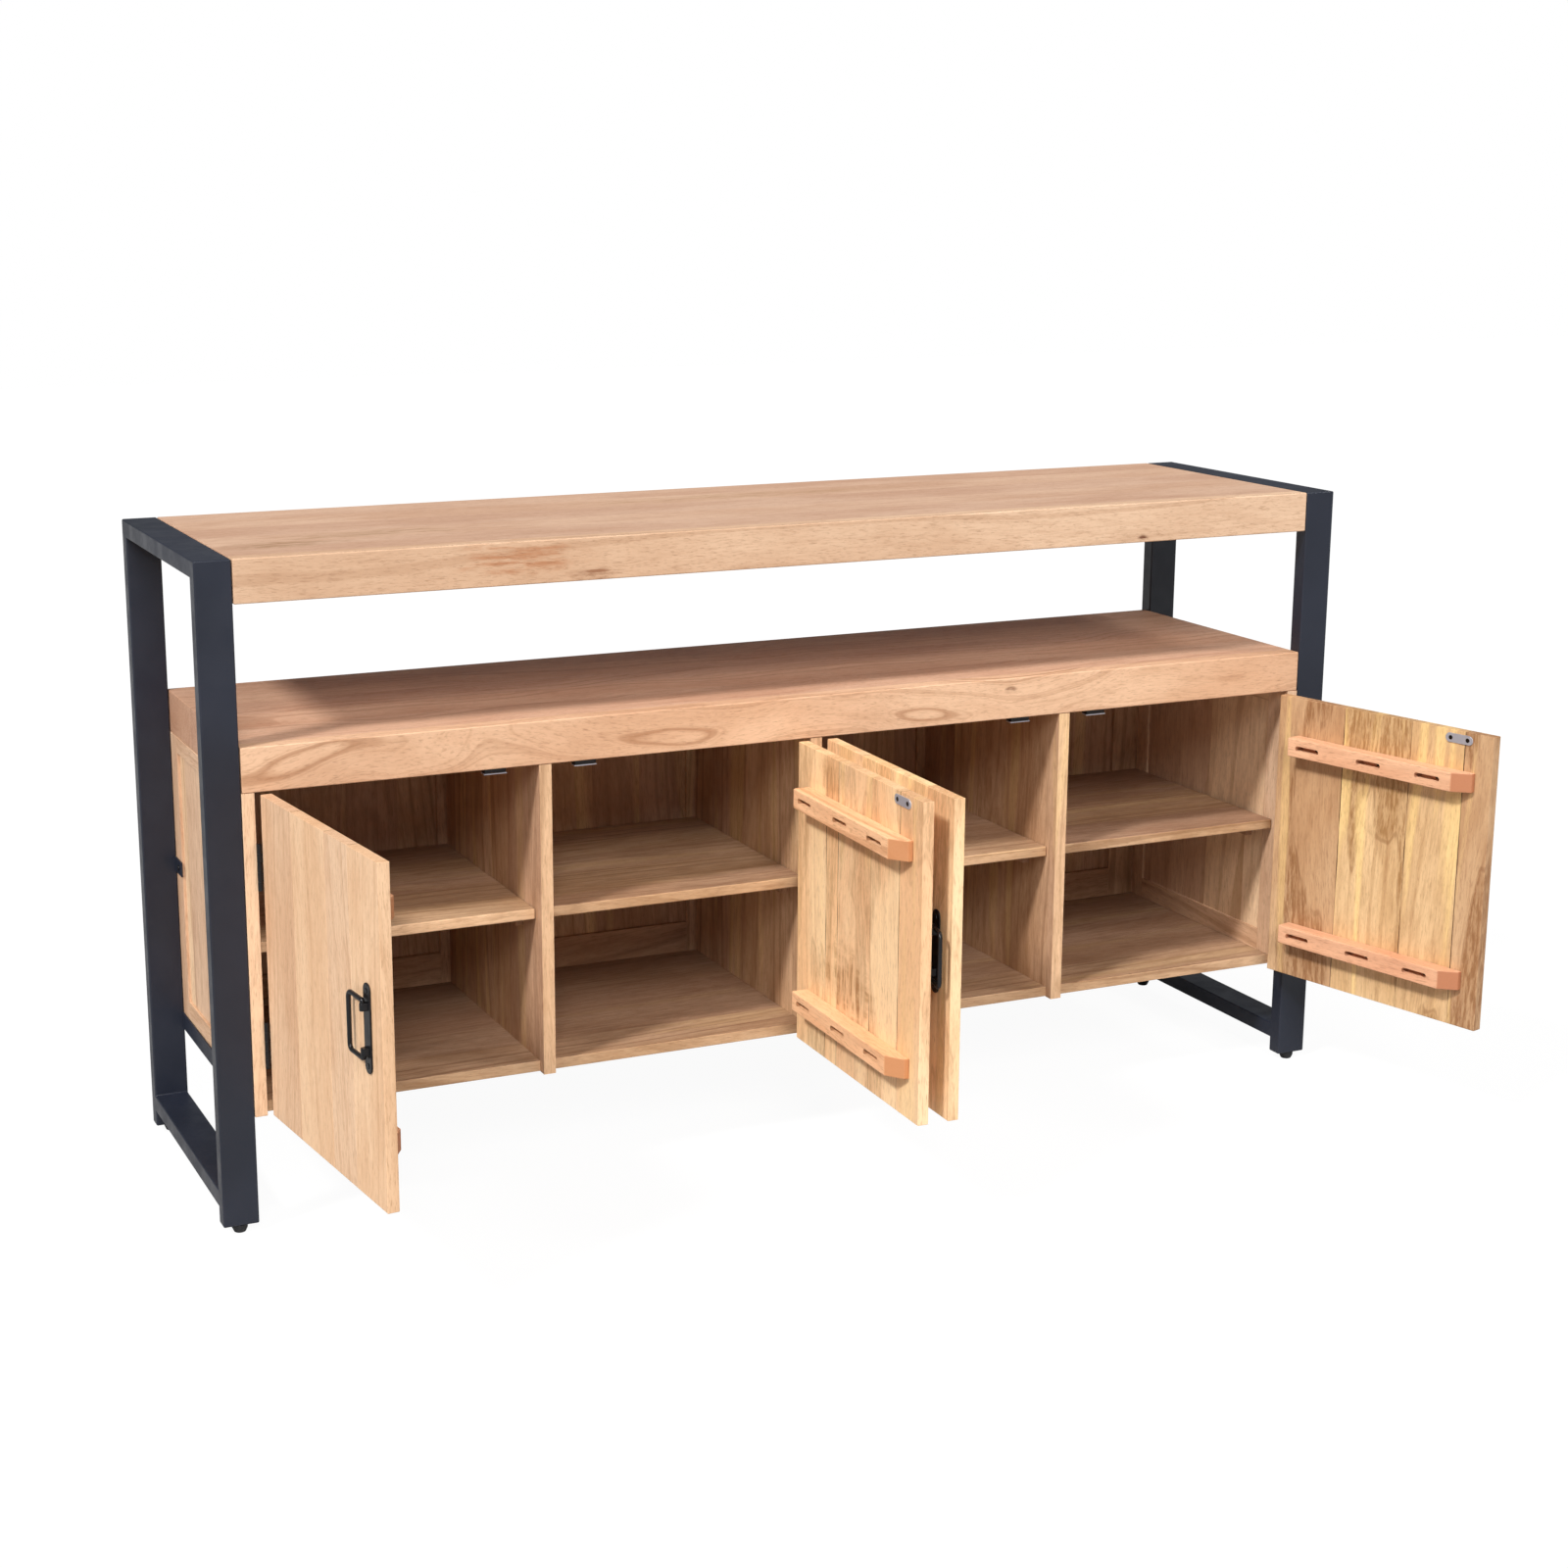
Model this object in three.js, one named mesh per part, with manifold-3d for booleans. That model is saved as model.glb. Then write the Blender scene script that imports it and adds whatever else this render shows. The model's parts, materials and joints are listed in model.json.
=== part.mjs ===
// Sideboard buffet. Two steel side frames carry a thick wooden top board and, below an open
// display space, a wooden cabinet with four bays. Each bay has a shelf and a plank door on two
// butt hinges, with a swinging bail handle, two screwed battens and a magnetic catch.
// Millimetres, +Z up. While it is built, X = 0 is the middle, Y = 0 is the front plane, Z = 0 is
// the floor; the finished group is moved so that its origin is the middle of its own footprint.
import * as THREE from 'three';
import { mergeVertices } from 'three/addons/utils/BufferGeometryUtils.js';
import Module from 'manifold-3d';

const wasm = await Module();
wasm.setup();

// ---- driving dimensions ----
const WIDTH = 1800;
const DEPTH = 450;
const HEIGHT = 935;
const GAP = 0.3;

// side frames: rectangular steel tube, wide side to the front
const TUBE_WIDTH = 50;
const TUBE_DEPTH = 25;
const TUBE_WALL = 2;
const LEG_BOTTOM = 12;
const LEG_FLOOR_PLATE = 3;
const FLOOR_RAIL_BOTTOM = 35;
const FRAME_INNER_X = WIDTH / 2 - TUBE_WIDTH;

// levelling feet
const FOOT_RADIUS = 11;
const FOOT_SOLE_RADIUS = 8.5;
const FOOT_TAPER = 6;
const FOOT_HEIGHT = 11.5;
const FOOT_STEM_RADIUS = 4;
const FOOT_STEM_TOP = 34;
const STEM_CLEARANCE = 0.5;

// boards
const TOP_BOARD_THICKNESS = 60;
const CABINET_TOP_HEIGHT = 683;
const CABINET_TOP_THICKNESS = 62;
const CABINET_TOP_BOTTOM = CABINET_TOP_HEIGHT - CABINET_TOP_THICKNESS;
const CABINET_BACK_Y = 438;
const CABINET_BOTTOM = 166;
const BOARD_END_CLEARANCE = 1;
const SIDE_THICKNESS = 18;
const CABINET_INNER_X = FRAME_INNER_X - SIDE_THICKNESS;
const BAY_WIDTH = 402.5;
const BOTTOM_THICKNESS = 16;
const STILE_WIDTH = 49;
const PANEL_RECESS = 4;
const BACK_THICKNESS = 18;
const BACK_RECESS = 6;

// shelves
const SHELF_TOP = 407;
const SHELF_THICKNESS = 16;
const SHELF_FRONT_Y = 24;
const SHELF_END_CLEARANCE = 0.6;

// steel angle under each side of the cabinet
const ANGLE_THICKNESS = 2.7;
const ANGLE_HEIGHT = 25;
const ANGLE_FOOT = 28;

// steel tab welded to each back leg, screwed to the side of the cabinet
const TAB_LOW = 409;
const TAB_HIGH = 431;
const TAB_REACH = 40;

// doors
const DOOR_WIDTH = 397;
const DOOR_THICKNESS = 16;
const DOOR_BOTTOM = 168;
const DOOR_TOP = 619;
const HINGE_GAP = 3.4;

// battens on the inner face of a door
const BATTEN_START = 43;
const BATTEN_END = 373;
const BATTEN_WIDTH = 29;
const BATTEN_THICKNESS = 26;
const BATTEN_BEVEL = 25;
const BATTEN_TIP = 7.5;
const BATTEN_INSET = 73;
const SLOT_PLACES = [81, 198, 306];
const SLOT_LENGTH = 45;
const SLOT_WIDTH = 8;
const SLOT_DEPTH = 18;

// butt hinges
const HINGE_HEIGHT = 65;
const HINGE_INSET = 100;
const HINGE_LEAF = 1.2;
const HINGE_LEAF_DEPTH = 13;
const HINGE_AXIS_Y = -4.2;
const HINGE_AXIS_IN = HINGE_GAP / 2 + 0.15;
const BARREL_RADIUS = 3.3;
const PIN_RADIUS = 1.2;
const PIN_HOLE_RADIUS = 1.6;
const KNUCKLES = 5;

// bail handles
const HANDLE_PLACE = 358;
const HANDLE_HEIGHT = 398;
const HANDLE_PLATE_LENGTH = 118;
const HANDLE_PLATE_WIDTH = 20;
const HANDLE_PLATE_THICKNESS = 2.5;
const BAIL_AXIS_OUT = 8;
const BAIL_REACH = 45;
const BAIL_HALF_HEIGHT = 38;
const BAIL_BAR = 6.4;
const BAIL_CORNER = 7;
const BAIL_PIN_RADIUS = 2;
const LUG_HOLE_RADIUS = 2.5;
const LUG_RADIUS = 4;
const LUG_LOW = 24;
const LUG_HIGH = 34;

// magnetic catches, centred over the strike plate of each door
const CATCH_PLACE = 341;
const CATCH_LENGTH = 40;
const CATCH_BLOCK = 32;
const CATCH_FRONT_Y = 18.5;
const CATCH_DEPTH = 15;
const CATCH_HEIGHT = 11.5;
const CATCH_EAR = 3;

// the four doors, left to right: the side they are hinged on, how far they stand open and how far
// the bail is swung over from lying flat toward the hinge
const DOORS = [
  { side: 1, open: 84, bail: 0 },
  { side: -1, open: 88.5, bail: 0 },
  { side: 1, open: 91.5, bail: 167 },
  { side: -1, open: 104, bail: 0 },
];

const ROUND = 20;

// ---- geometry helpers ----
function box([x0, x1], [y0, y1], [z0, z1]) {
  const geometry = new THREE.BoxGeometry(Math.abs(x1 - x0), Math.abs(y1 - y0), Math.abs(z1 - z0));
  return geometry.translate((x0 + x1) / 2, (y0 + y1) / 2, (z0 + z1) / 2);
}

function outline(points) {
  return new THREE.Shape(points.map(([a, b]) => new THREE.Vector2(a, b)));
}

function pill(centreX, centreY, length, width, upright) {
  const radius = width / 2;
  const half = length / 2 - radius;
  const shape = new THREE.Shape();
  if (upright) {
    shape.absarc(centreX, centreY + half, radius, 0, Math.PI);
    shape.absarc(centreX, centreY - half, radius, Math.PI, 2 * Math.PI);
  } else {
    shape.absarc(centreX + half, centreY, radius, -Math.PI / 2, Math.PI / 2);
    shape.absarc(centreX - half, centreY, radius, Math.PI / 2, (3 * Math.PI) / 2);
  }
  return shape;
}

// a straight prism: the outline is drawn in the plane across the axis, in X, Y, Z order
function prism(shape, axis, low, high) {
  const options = { depth: high - low, bevelEnabled: false, curveSegments: 8 };
  const geometry = new THREE.ExtrudeGeometry(shape, options);
  const x = new THREE.Vector3(1, 0, 0);
  const y = new THREE.Vector3(0, 1, 0);
  const z = new THREE.Vector3(0, 0, 1);
  if (axis === 'x') {
    geometry.applyMatrix4(new THREE.Matrix4().makeBasis(y, z, x)).translate(low, 0, 0);
  } else if (axis === 'y') {
    const back = y.clone().negate();
    geometry.applyMatrix4(new THREE.Matrix4().makeBasis(x, z, back)).translate(0, high, 0);
  } else {
    geometry.translate(0, 0, low);
  }
  return geometry;
}

function upright(radius, low, high, x = 0, y = 0) {
  const geometry = new THREE.CylinderGeometry(radius, radius, high - low, ROUND);
  return geometry.rotateX(Math.PI / 2).translate(x, y, (low + high) / 2);
}

function solid(geometry) {
  const plain = geometry.clone();
  plain.deleteAttribute('normal');
  plain.deleteAttribute('uv');
  const merged = mergeVertices(plain, 1e-4);
  const mesh = new wasm.Mesh({
    numProp: 3,
    vertProperties: new Float32Array(merged.attributes.position.array),
    triVerts: new Uint32Array(merged.index.array),
  });
  return new wasm.Manifold(mesh);
}

function fromSolid(manifold) {
  const mesh = manifold.getMesh();
  const geometry = new THREE.BufferGeometry();
  geometry.setAttribute('position', new THREE.Float32BufferAttribute(mesh.vertProperties, 3));
  geometry.setIndex(Array.from(mesh.triVerts));
  geometry.computeVertexNormals();
  return geometry;
}

function joined(...geometries) {
  return fromSolid(geometries.map(solid).reduce((whole, piece) => whole.add(piece)));
}

function cut(geometry, ...tools) {
  return fromSolid(tools.map(solid).reduce((left, tool) => left.subtract(tool), solid(geometry)));
}

// ---- materials ----
function wood(colour = 0xd9b084) {
  return new THREE.MeshStandardMaterial({ color: colour, roughness: 0.55, metalness: 0 });
}

function blackSteel() {
  return new THREE.MeshStandardMaterial({ color: 0x23262d, roughness: 0.5, metalness: 0.4 });
}

function ironHardware() {
  return new THREE.MeshStandardMaterial({ color: 0x1b1b1e, roughness: 0.45, metalness: 0.7 });
}

function blackPlastic() {
  return new THREE.MeshStandardMaterial({ color: 0x17171a, roughness: 0.6, metalness: 0 });
}

function named(name, geometry, material) {
  const mesh = new THREE.Mesh(geometry, material);
  mesh.name = name;
  return mesh;
}

const sideboard = new THREE.Group();

// ---- side frames ----
// the region on one side of the slanted joint line at the top front corner of a frame
function mitreCut(below) {
  const reach = TUBE_DEPTH + 1;
  const shift = below ? GAP / 2 : -GAP / 2;
  const far = below ? HEIGHT - 2 * reach : HEIGHT + 2 * reach;
  const points = [
    [-1, HEIGHT + 1 + shift],
    [reach, HEIGHT - reach + shift],
    [reach, far],
    [-1, far],
  ];
  return prism(outline(points), 'x', -TUBE_WIDTH, TUBE_WIDTH);
}

function mirroredInDepth(geometry) {
  return geometry.clone().rotateZ(Math.PI).translate(0, DEPTH, 0);
}

// a leg, drawn as a front one; side says which way the cabinet lies
function leg(side, atBack) {
  const halfWidth = TUBE_WIDTH / 2;
  const inner = halfWidth - TUBE_WALL;
  const bar = box([-halfWidth, halfWidth], [0, TUBE_DEPTH], [LEG_BOTTOM, HEIGHT]);
  const bore = box(
    [-inner, inner],
    [TUBE_WALL, TUBE_DEPTH - TUBE_WALL],
    [LEG_BOTTOM + LEG_FLOOR_PLATE, HEIGHT + 1],
  );
  const stemHole = upright(
    FOOT_STEM_RADIUS + STEM_CLEARANCE, LEG_BOTTOM - 1, LEG_BOTTOM + LEG_FLOOR_PLATE + 1,
    0, TUBE_DEPTH / 2,
  );
  const front = cut(bar, bore, stemHole, mitreCut(false));
  if (!atBack) {
    return front;
  }
  const face = -side * halfWidth;
  const tab = box(
    [face, face + side * ANGLE_THICKNESS],
    [DEPTH - TUBE_DEPTH - TAB_REACH, DEPTH - TUBE_DEPTH / 2],
    [TAB_LOW, TAB_HIGH],
  );
  const tabInLeg = box(
    [-inner, inner],
    [DEPTH - TUBE_DEPTH + TUBE_WALL, DEPTH - TUBE_WALL],
    [TAB_LOW - 1, TAB_HIGH + 1],
  );
  return cut(joined(mirroredInDepth(front), tab), tabInLeg);
}

function topRail() {
  const halfWidth = TUBE_WIDTH / 2;
  const inner = halfWidth - TUBE_WALL;
  const bar = box([-halfWidth, halfWidth], [0, DEPTH], [HEIGHT - TUBE_DEPTH, HEIGHT]);
  const bore = box(
    [-inner, inner], [-1, DEPTH + 1],
    [HEIGHT - TUBE_DEPTH + TUBE_WALL, HEIGHT - TUBE_WALL],
  );
  const mitre = mitreCut(true);
  return cut(bar, bore, mitre, mirroredInDepth(mitre));
}

function floorRail() {
  const halfWidth = TUBE_WIDTH / 2;
  const inner = halfWidth - TUBE_WALL;
  const bar = box(
    [-halfWidth, halfWidth],
    [TUBE_DEPTH + GAP, DEPTH - TUBE_DEPTH - GAP],
    [FLOOR_RAIL_BOTTOM, FLOOR_RAIL_BOTTOM + TUBE_DEPTH],
  );
  const bore = box(
    [-inner, inner], [0, DEPTH],
    [FLOOR_RAIL_BOTTOM + TUBE_WALL, FLOOR_RAIL_BOTTOM + TUBE_DEPTH - TUBE_WALL],
  );
  return cut(bar, bore);
}

function angleRail(side) {
  const outer = FRAME_INNER_X + GAP + ANGLE_THICKNESS;
  const base = CABINET_BOTTOM - GAP - ANGLE_THICKNESS;
  const section = [
    [side * outer, base],
    [side * (outer - ANGLE_FOOT), base],
    [side * (outer - ANGLE_FOOT), base + ANGLE_THICKNESS],
    [side * (outer - ANGLE_THICKNESS), base + ANGLE_THICKNESS],
    [side * (outer - ANGLE_THICKNESS), base + ANGLE_HEIGHT],
    [side * outer, base + ANGLE_HEIGHT],
  ];
  return prism(outline(section), 'y', TUBE_DEPTH + GAP, DEPTH - TUBE_DEPTH - GAP);
}

function levellingFoot() {
  const profile = [
    [0, 0],
    [FOOT_SOLE_RADIUS, 0],
    [FOOT_RADIUS, FOOT_TAPER],
    [FOOT_RADIUS, FOOT_HEIGHT],
    [FOOT_STEM_RADIUS, FOOT_HEIGHT],
    [FOOT_STEM_RADIUS, FOOT_STEM_TOP],
    [0, FOOT_STEM_TOP],
  ].map(([r, z]) => new THREE.Vector2(r, z));
  return new THREE.LatheGeometry(profile, 24).rotateX(Math.PI / 2);
}

for (const [label, side] of [['left', -1], ['right', 1]]) {
  const frame = new THREE.Group();
  frame.position.x = side * (WIDTH / 2 - TUBE_WIDTH / 2);
  frame.add(named(`${label}_front_leg`, leg(side, false), blackSteel()));
  frame.add(named(`${label}_back_leg`, leg(side, true), blackSteel()));
  frame.add(named(`${label}_top_rail`, topRail(), blackSteel()));
  frame.add(named(`${label}_floor_rail`, floorRail(), blackSteel()));
  for (const [end, y] of [['front', TUBE_DEPTH / 2], ['back', DEPTH - TUBE_DEPTH / 2]]) {
    const foot = named(`${label}_${end}_foot`, levellingFoot(), blackPlastic());
    foot.position.y = y;
    frame.add(foot);
  }
  sideboard.add(frame);
  sideboard.add(named(`${label}_cabinet_angle`, angleRail(side), blackSteel()));
}

// ---- boards ----
const boardEnd = FRAME_INNER_X - BOARD_END_CLEARANCE;
const boardSpan = [-boardEnd, boardEnd];
const topBoard = box(boardSpan, [0, DEPTH], [HEIGHT - TOP_BOARD_THICKNESS, HEIGHT]);
sideboard.add(named('top_board', topBoard, wood(0xdcb68c)));
const cabinetTop = box(boardSpan, [0, CABINET_BACK_Y], [CABINET_TOP_BOTTOM, CABINET_TOP_HEIGHT]);
sideboard.add(named('cabinet_top', cabinetTop, wood(0xd6ab7e)));

const wallTop = CABINET_TOP_BOTTOM - GAP;
const backFront = CABINET_BACK_Y - BACK_THICKNESS;
const noseDepth = DOOR_THICKNESS - GAP;

// a frame-and-panel side: two stiles and two rails around a thinner panel
function cabinetSide(side) {
  const inner = side * CABINET_INNER_X;
  const outer = side * (FRAME_INNER_X - GAP);
  const full = [inner, outer];
  const thin = [inner + side * PANEL_RECESS, outer - side * PANEL_RECESS];
  const height = [CABINET_BOTTOM, wallTop];
  return joined(
    box(thin, [1, CABINET_BACK_Y - 1], [CABINET_BOTTOM + 1, wallTop - 1]),
    box(full, [0, STILE_WIDTH], height),
    box(full, [CABINET_BACK_Y - STILE_WIDTH, CABINET_BACK_Y], height),
    box(full, [1, CABINET_BACK_Y - 1], [CABINET_BOTTOM, CABINET_BOTTOM + STILE_WIDTH]),
    box(full, [1, CABINET_BACK_Y - 1], [wallTop - STILE_WIDTH / 2, wallTop]),
  );
}

sideboard.add(named('left_side_panel', cabinetSide(-1), wood()));
sideboard.add(named('right_side_panel', cabinetSide(1), wood()));

// a partition stands on the bottom board, and its front nose reaches down past it
function partition(x) {
  const shelfOfBottom = CABINET_BOTTOM + BOTTOM_THICKNESS + GAP;
  const profile = outline([
    [0, CABINET_BOTTOM],
    [noseDepth, CABINET_BOTTOM],
    [noseDepth, shelfOfBottom],
    [backFront - GAP, shelfOfBottom],
    [backFront - GAP, wallTop],
    [0, wallTop],
  ]);
  return prism(profile, 'x', x - SIDE_THICKNESS / 2, x + SIDE_THICKNESS / 2);
}

const partitionX = CABINET_INNER_X - BAY_WIDTH - SIDE_THICKNESS / 2;
for (const [label, x] of [['left', -partitionX], ['middle', 0], ['right', partitionX]]) {
  sideboard.add(named(`${label}_partition`, partition(x), wood(0xd8ad7d)));
}

const carcassSpan = [-CABINET_INNER_X + GAP, CABINET_INNER_X - GAP];
const bottomBoard = box(
  carcassSpan, [DOOR_THICKNESS, backFront - GAP], [CABINET_BOTTOM, CABINET_BOTTOM + BOTTOM_THICKNESS],
);
sideboard.add(named('bottom_board', bottomBoard, wood(0xc99c6c)));

// the back: thin panels behind rails along the top and bottom and stiles at the ends and partitions
function backPanel() {
  const depth = [backFront, CABINET_BACK_Y];
  const low = CABINET_BOTTOM;
  const pieces = [
    box(carcassSpan, [backFront + BACK_RECESS, CABINET_BACK_Y - BACK_RECESS], [low + 1, wallTop - 1]),
    box(carcassSpan, depth, [low, low + STILE_WIDTH + BOTTOM_THICKNESS]),
    box(carcassSpan, depth, [wallTop - STILE_WIDTH, wallTop]),
  ];
  for (const x of [-partitionX, 0, partitionX]) {
    pieces.push(box([x - STILE_WIDTH / 2, x + STILE_WIDTH / 2], depth, [low + 1, wallTop - 1]));
  }
  for (const side of [-1, 1]) {
    const end = side * carcassSpan[1];
    pieces.push(box([end, end - side * STILE_WIDTH], depth, [low + 1, wallTop - 1]));
  }
  return joined(...pieces);
}

sideboard.add(named('back_panel', backPanel(), wood(0xb98f63)));

const bayCentres = [-1.5, -0.5, 0.5, 1.5].map((n) => n * (BAY_WIDTH + SIDE_THICKNESS));
bayCentres.forEach((x, i) => {
  const half = BAY_WIDTH / 2 - SHELF_END_CLEARANCE;
  const depth = [SHELF_FRONT_Y, backFront - SHELF_END_CLEARANCE];
  const shelf = box([x - half, x + half], depth, [SHELF_TOP - SHELF_THICKNESS, SHELF_TOP]);
  sideboard.add(named(`shelf_${i + 1}`, shelf, wood(0xcfa274)));
});

// ---- doors, drawn closed and hung on their hinge line; u runs from the post into the bay ----
const hingeMiddles = [DOOR_BOTTOM + HINGE_INSET, DOOR_TOP - HINGE_INSET];

function knuckleSpans(middle, wanted) {
  const length = HINGE_HEIGHT / KNUCKLES;
  const low = middle - HINGE_HEIGHT / 2;
  return [...Array(KNUCKLES).keys()]
    .filter((i) => i % 2 === wanted)
    .map((i) => [low + i * length + GAP / 2, low + (i + 1) * length - GAP / 2]);
}

function leafPieces(side, middle, span, wanted) {
  const plate = span.map((u) => side * u);
  const half = HINGE_HEIGHT / 2;
  const pieces = [box(plate, [GAP, HINGE_LEAF_DEPTH], [middle - half, middle + half])];
  for (const knuckle of knuckleSpans(middle, wanted)) {
    pieces.push(box(plate, [HINGE_AXIS_Y, 2 * GAP], knuckle));
    pieces.push(upright(BARREL_RADIUS, ...knuckle, side * HINGE_AXIS_IN, HINGE_AXIS_Y));
  }
  return pieces;
}

// the leaf on the post, with the pin riveted into its three knuckles
function postLeaf(side, middle) {
  const half = HINGE_HEIGHT / 2;
  const pin = upright(PIN_RADIUS, middle - half, middle + half, side * HINGE_AXIS_IN, HINGE_AXIS_Y);
  return joined(...leafPieces(side, middle, [GAP, GAP + HINGE_LEAF], 0), pin);
}

// the door board with its two hinge leaves let into the edge
function doorPanel(side) {
  const edge = side * HINGE_GAP;
  const board = box(
    [edge, edge + side * DOOR_WIDTH], [0, DOOR_THICKNESS], [DOOR_BOTTOM, DOOR_TOP],
  );
  const leafSpan = [HINGE_GAP - HINGE_LEAF, HINGE_GAP + GAP];
  const leaves = hingeMiddles.flatMap((middle) => leafPieces(side, middle, leafSpan, 1));
  const pinHoles = hingeMiddles.map((middle) => upright(
    PIN_HOLE_RADIUS, middle - HINGE_HEIGHT, middle + HINGE_HEIGHT,
    side * HINGE_AXIS_IN, HINGE_AXIS_Y,
  ));
  return cut(joined(board, ...leaves), ...pinHoles);
}

// a batten is square at the hinge end and bevelled at the free end, with three screw slots
function batten(side, middle) {
  const base = DOOR_THICKNESS + GAP;
  const face = base + BATTEN_THICKNESS;
  const bar = prism(outline([
    [side * BATTEN_START, base],
    [side * BATTEN_START, face],
    [side * (BATTEN_END - BATTEN_BEVEL), face],
    [side * BATTEN_END, base + BATTEN_TIP],
    [side * BATTEN_END, base],
  ]), 'z', middle - BATTEN_WIDTH / 2, middle + BATTEN_WIDTH / 2);
  const slots = SLOT_PLACES.map((u) => prism(
    pill(side * u, middle, SLOT_LENGTH, SLOT_WIDTH, false), 'y', face - SLOT_DEPTH, face + 1,
  ));
  return cut(bar, ...slots);
}

function handlePlate(side) {
  const u = side * HANDLE_PLACE;
  const plateOutline = pill(u, HANDLE_HEIGHT, HANDLE_PLATE_LENGTH, HANDLE_PLATE_WIDTH, true);
  const pieces = [prism(plateOutline, 'y', -GAP - HANDLE_PLATE_THICKNESS, -GAP)];
  const holes = [];
  for (const way of [-1, 1]) {
    const ends = [HANDLE_HEIGHT + way * LUG_LOW, HANDLE_HEIGHT + way * LUG_HIGH];
    const low = Math.min(...ends);
    const high = Math.max(...ends);
    pieces.push(box([u - LUG_RADIUS, u + LUG_RADIUS], [-BAIL_AXIS_OUT, -2 * GAP], [low, high]));
    pieces.push(upright(LUG_RADIUS, low, high, u, -BAIL_AXIS_OUT));
    holes.push(upright(LUG_HOLE_RADIUS, low - 1, high + 1, u, -BAIL_AXIS_OUT));
  }
  return cut(joined(...pieces), ...holes);
}

// the bail: a square-cornered loop whose two ends turn in to a pin in each lug; it is drawn about
// its own pivot line, reaching toward the hinge
function bail(side) {
  const half = BAIL_BAR / 2;
  const shape = new THREE.Shape();
  const outerX = side * -(BAIL_REACH + half);
  const innerX = side * -(BAIL_REACH - half);
  const outerZ = BAIL_HALF_HEIGHT + half;
  const innerZ = BAIL_HALF_HEIGHT - half;
  const endX = side * half;
  const corner = side * BAIL_CORNER;
  shape.moveTo(endX, outerZ);
  shape.lineTo(outerX + corner, outerZ);
  shape.quadraticCurveTo(outerX, outerZ, outerX, outerZ - BAIL_CORNER);
  shape.lineTo(outerX, -outerZ + BAIL_CORNER);
  shape.quadraticCurveTo(outerX, -outerZ, outerX + corner, -outerZ);
  shape.lineTo(endX, -outerZ);
  shape.lineTo(endX, -innerZ);
  shape.lineTo(innerX, -innerZ);
  shape.lineTo(innerX, innerZ);
  shape.lineTo(endX, innerZ);
  shape.closePath();
  const loop = prism(shape, 'y', -half, half);
  const pins = [-1, 1].map((way) => {
    const ends = [way * (LUG_LOW + 1), way * BAIL_HALF_HEIGHT];
    return upright(BAIL_PIN_RADIUS, Math.min(...ends), Math.max(...ends));
  });
  return joined(loop, ...pins);
}

function magneticCatch(x) {
  const half = CATCH_LENGTH / 2;
  const blockHalf = CATCH_BLOCK / 2;
  const top = CABINET_TOP_BOTTOM - GAP;
  const back = CATCH_FRONT_Y + CATCH_DEPTH;
  return joined(
    box([x - half, x + half], [CATCH_FRONT_Y + 2, back - 2], [top - CATCH_EAR, top]),
    box([x - blockHalf, x + blockHalf], [CATCH_FRONT_Y, back], [top - CATCH_HEIGHT, top]),
  );
}

DOORS.forEach(({ side, open, bail: swing }, i) => {
  const number = i + 1;
  const post = bayCentres[i] - side * (BAY_WIDTH / 2);

  hingeMiddles.forEach((middle, n) => {
    const where = n === 0 ? 'lower' : 'upper';
    const leaf = named(`post_leaf_${number}_${where}`, postLeaf(side, middle), ironHardware());
    leaf.position.x = post;
    sideboard.add(leaf);
  });
  const catchX = post + side * (HINGE_GAP + CATCH_PLACE);
  sideboard.add(named(`magnetic_catch_${number}`, magneticCatch(catchX), blackPlastic()));

  // the hinge line; everything on the door turns about it
  const hung = new THREE.Group();
  hung.name = `door_${number}_hinge_line`;
  hung.position.set(post + side * HINGE_AXIS_IN, HINGE_AXIS_Y, 0);
  hung.rotation.z = THREE.MathUtils.degToRad(-side * open);
  const door = new THREE.Group();
  door.position.set(-side * HINGE_AXIS_IN, -HINGE_AXIS_Y, 0);
  hung.add(door);
  sideboard.add(hung);

  door.add(named(`door_${number}`, doorPanel(side), wood(0xe0b98a)));
  const [lower, upper] = [DOOR_BOTTOM + BATTEN_INSET, DOOR_TOP - BATTEN_INSET];
  door.add(named(`door_${number}_lower_batten`, batten(side, lower), wood(0xcf9a66)));
  door.add(named(`door_${number}_upper_batten`, batten(side, upper), wood(0xcf9a66)));
  door.add(named(`door_${number}_handle_plate`, handlePlate(side), ironHardware()));

  // the bail turns about its own upright line on the outer face
  const bailLine = new THREE.Group();
  bailLine.name = `bail_${number}_line`;
  bailLine.position.set(side * HANDLE_PLACE, -BAIL_AXIS_OUT, HANDLE_HEIGHT);
  bailLine.rotation.z = THREE.MathUtils.degToRad(side * swing);
  bailLine.add(named(`door_${number}_bail`, bail(side), ironHardware()));
  door.add(bailLine);
});

// ---- origin: floor level, middle of the footprint with the doors as they stand ----
sideboard.updateMatrixWorld(true);
const middle = new THREE.Box3().setFromObject(sideboard, true).getCenter(new THREE.Vector3());
sideboard.position.set(-middle.x, -middle.y, 0);
sideboard.updateMatrixWorld(true);

export default sideboard;
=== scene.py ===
import json
import math
import random

import bmesh
import bpy
from mathutils import Matrix, Vector


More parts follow.
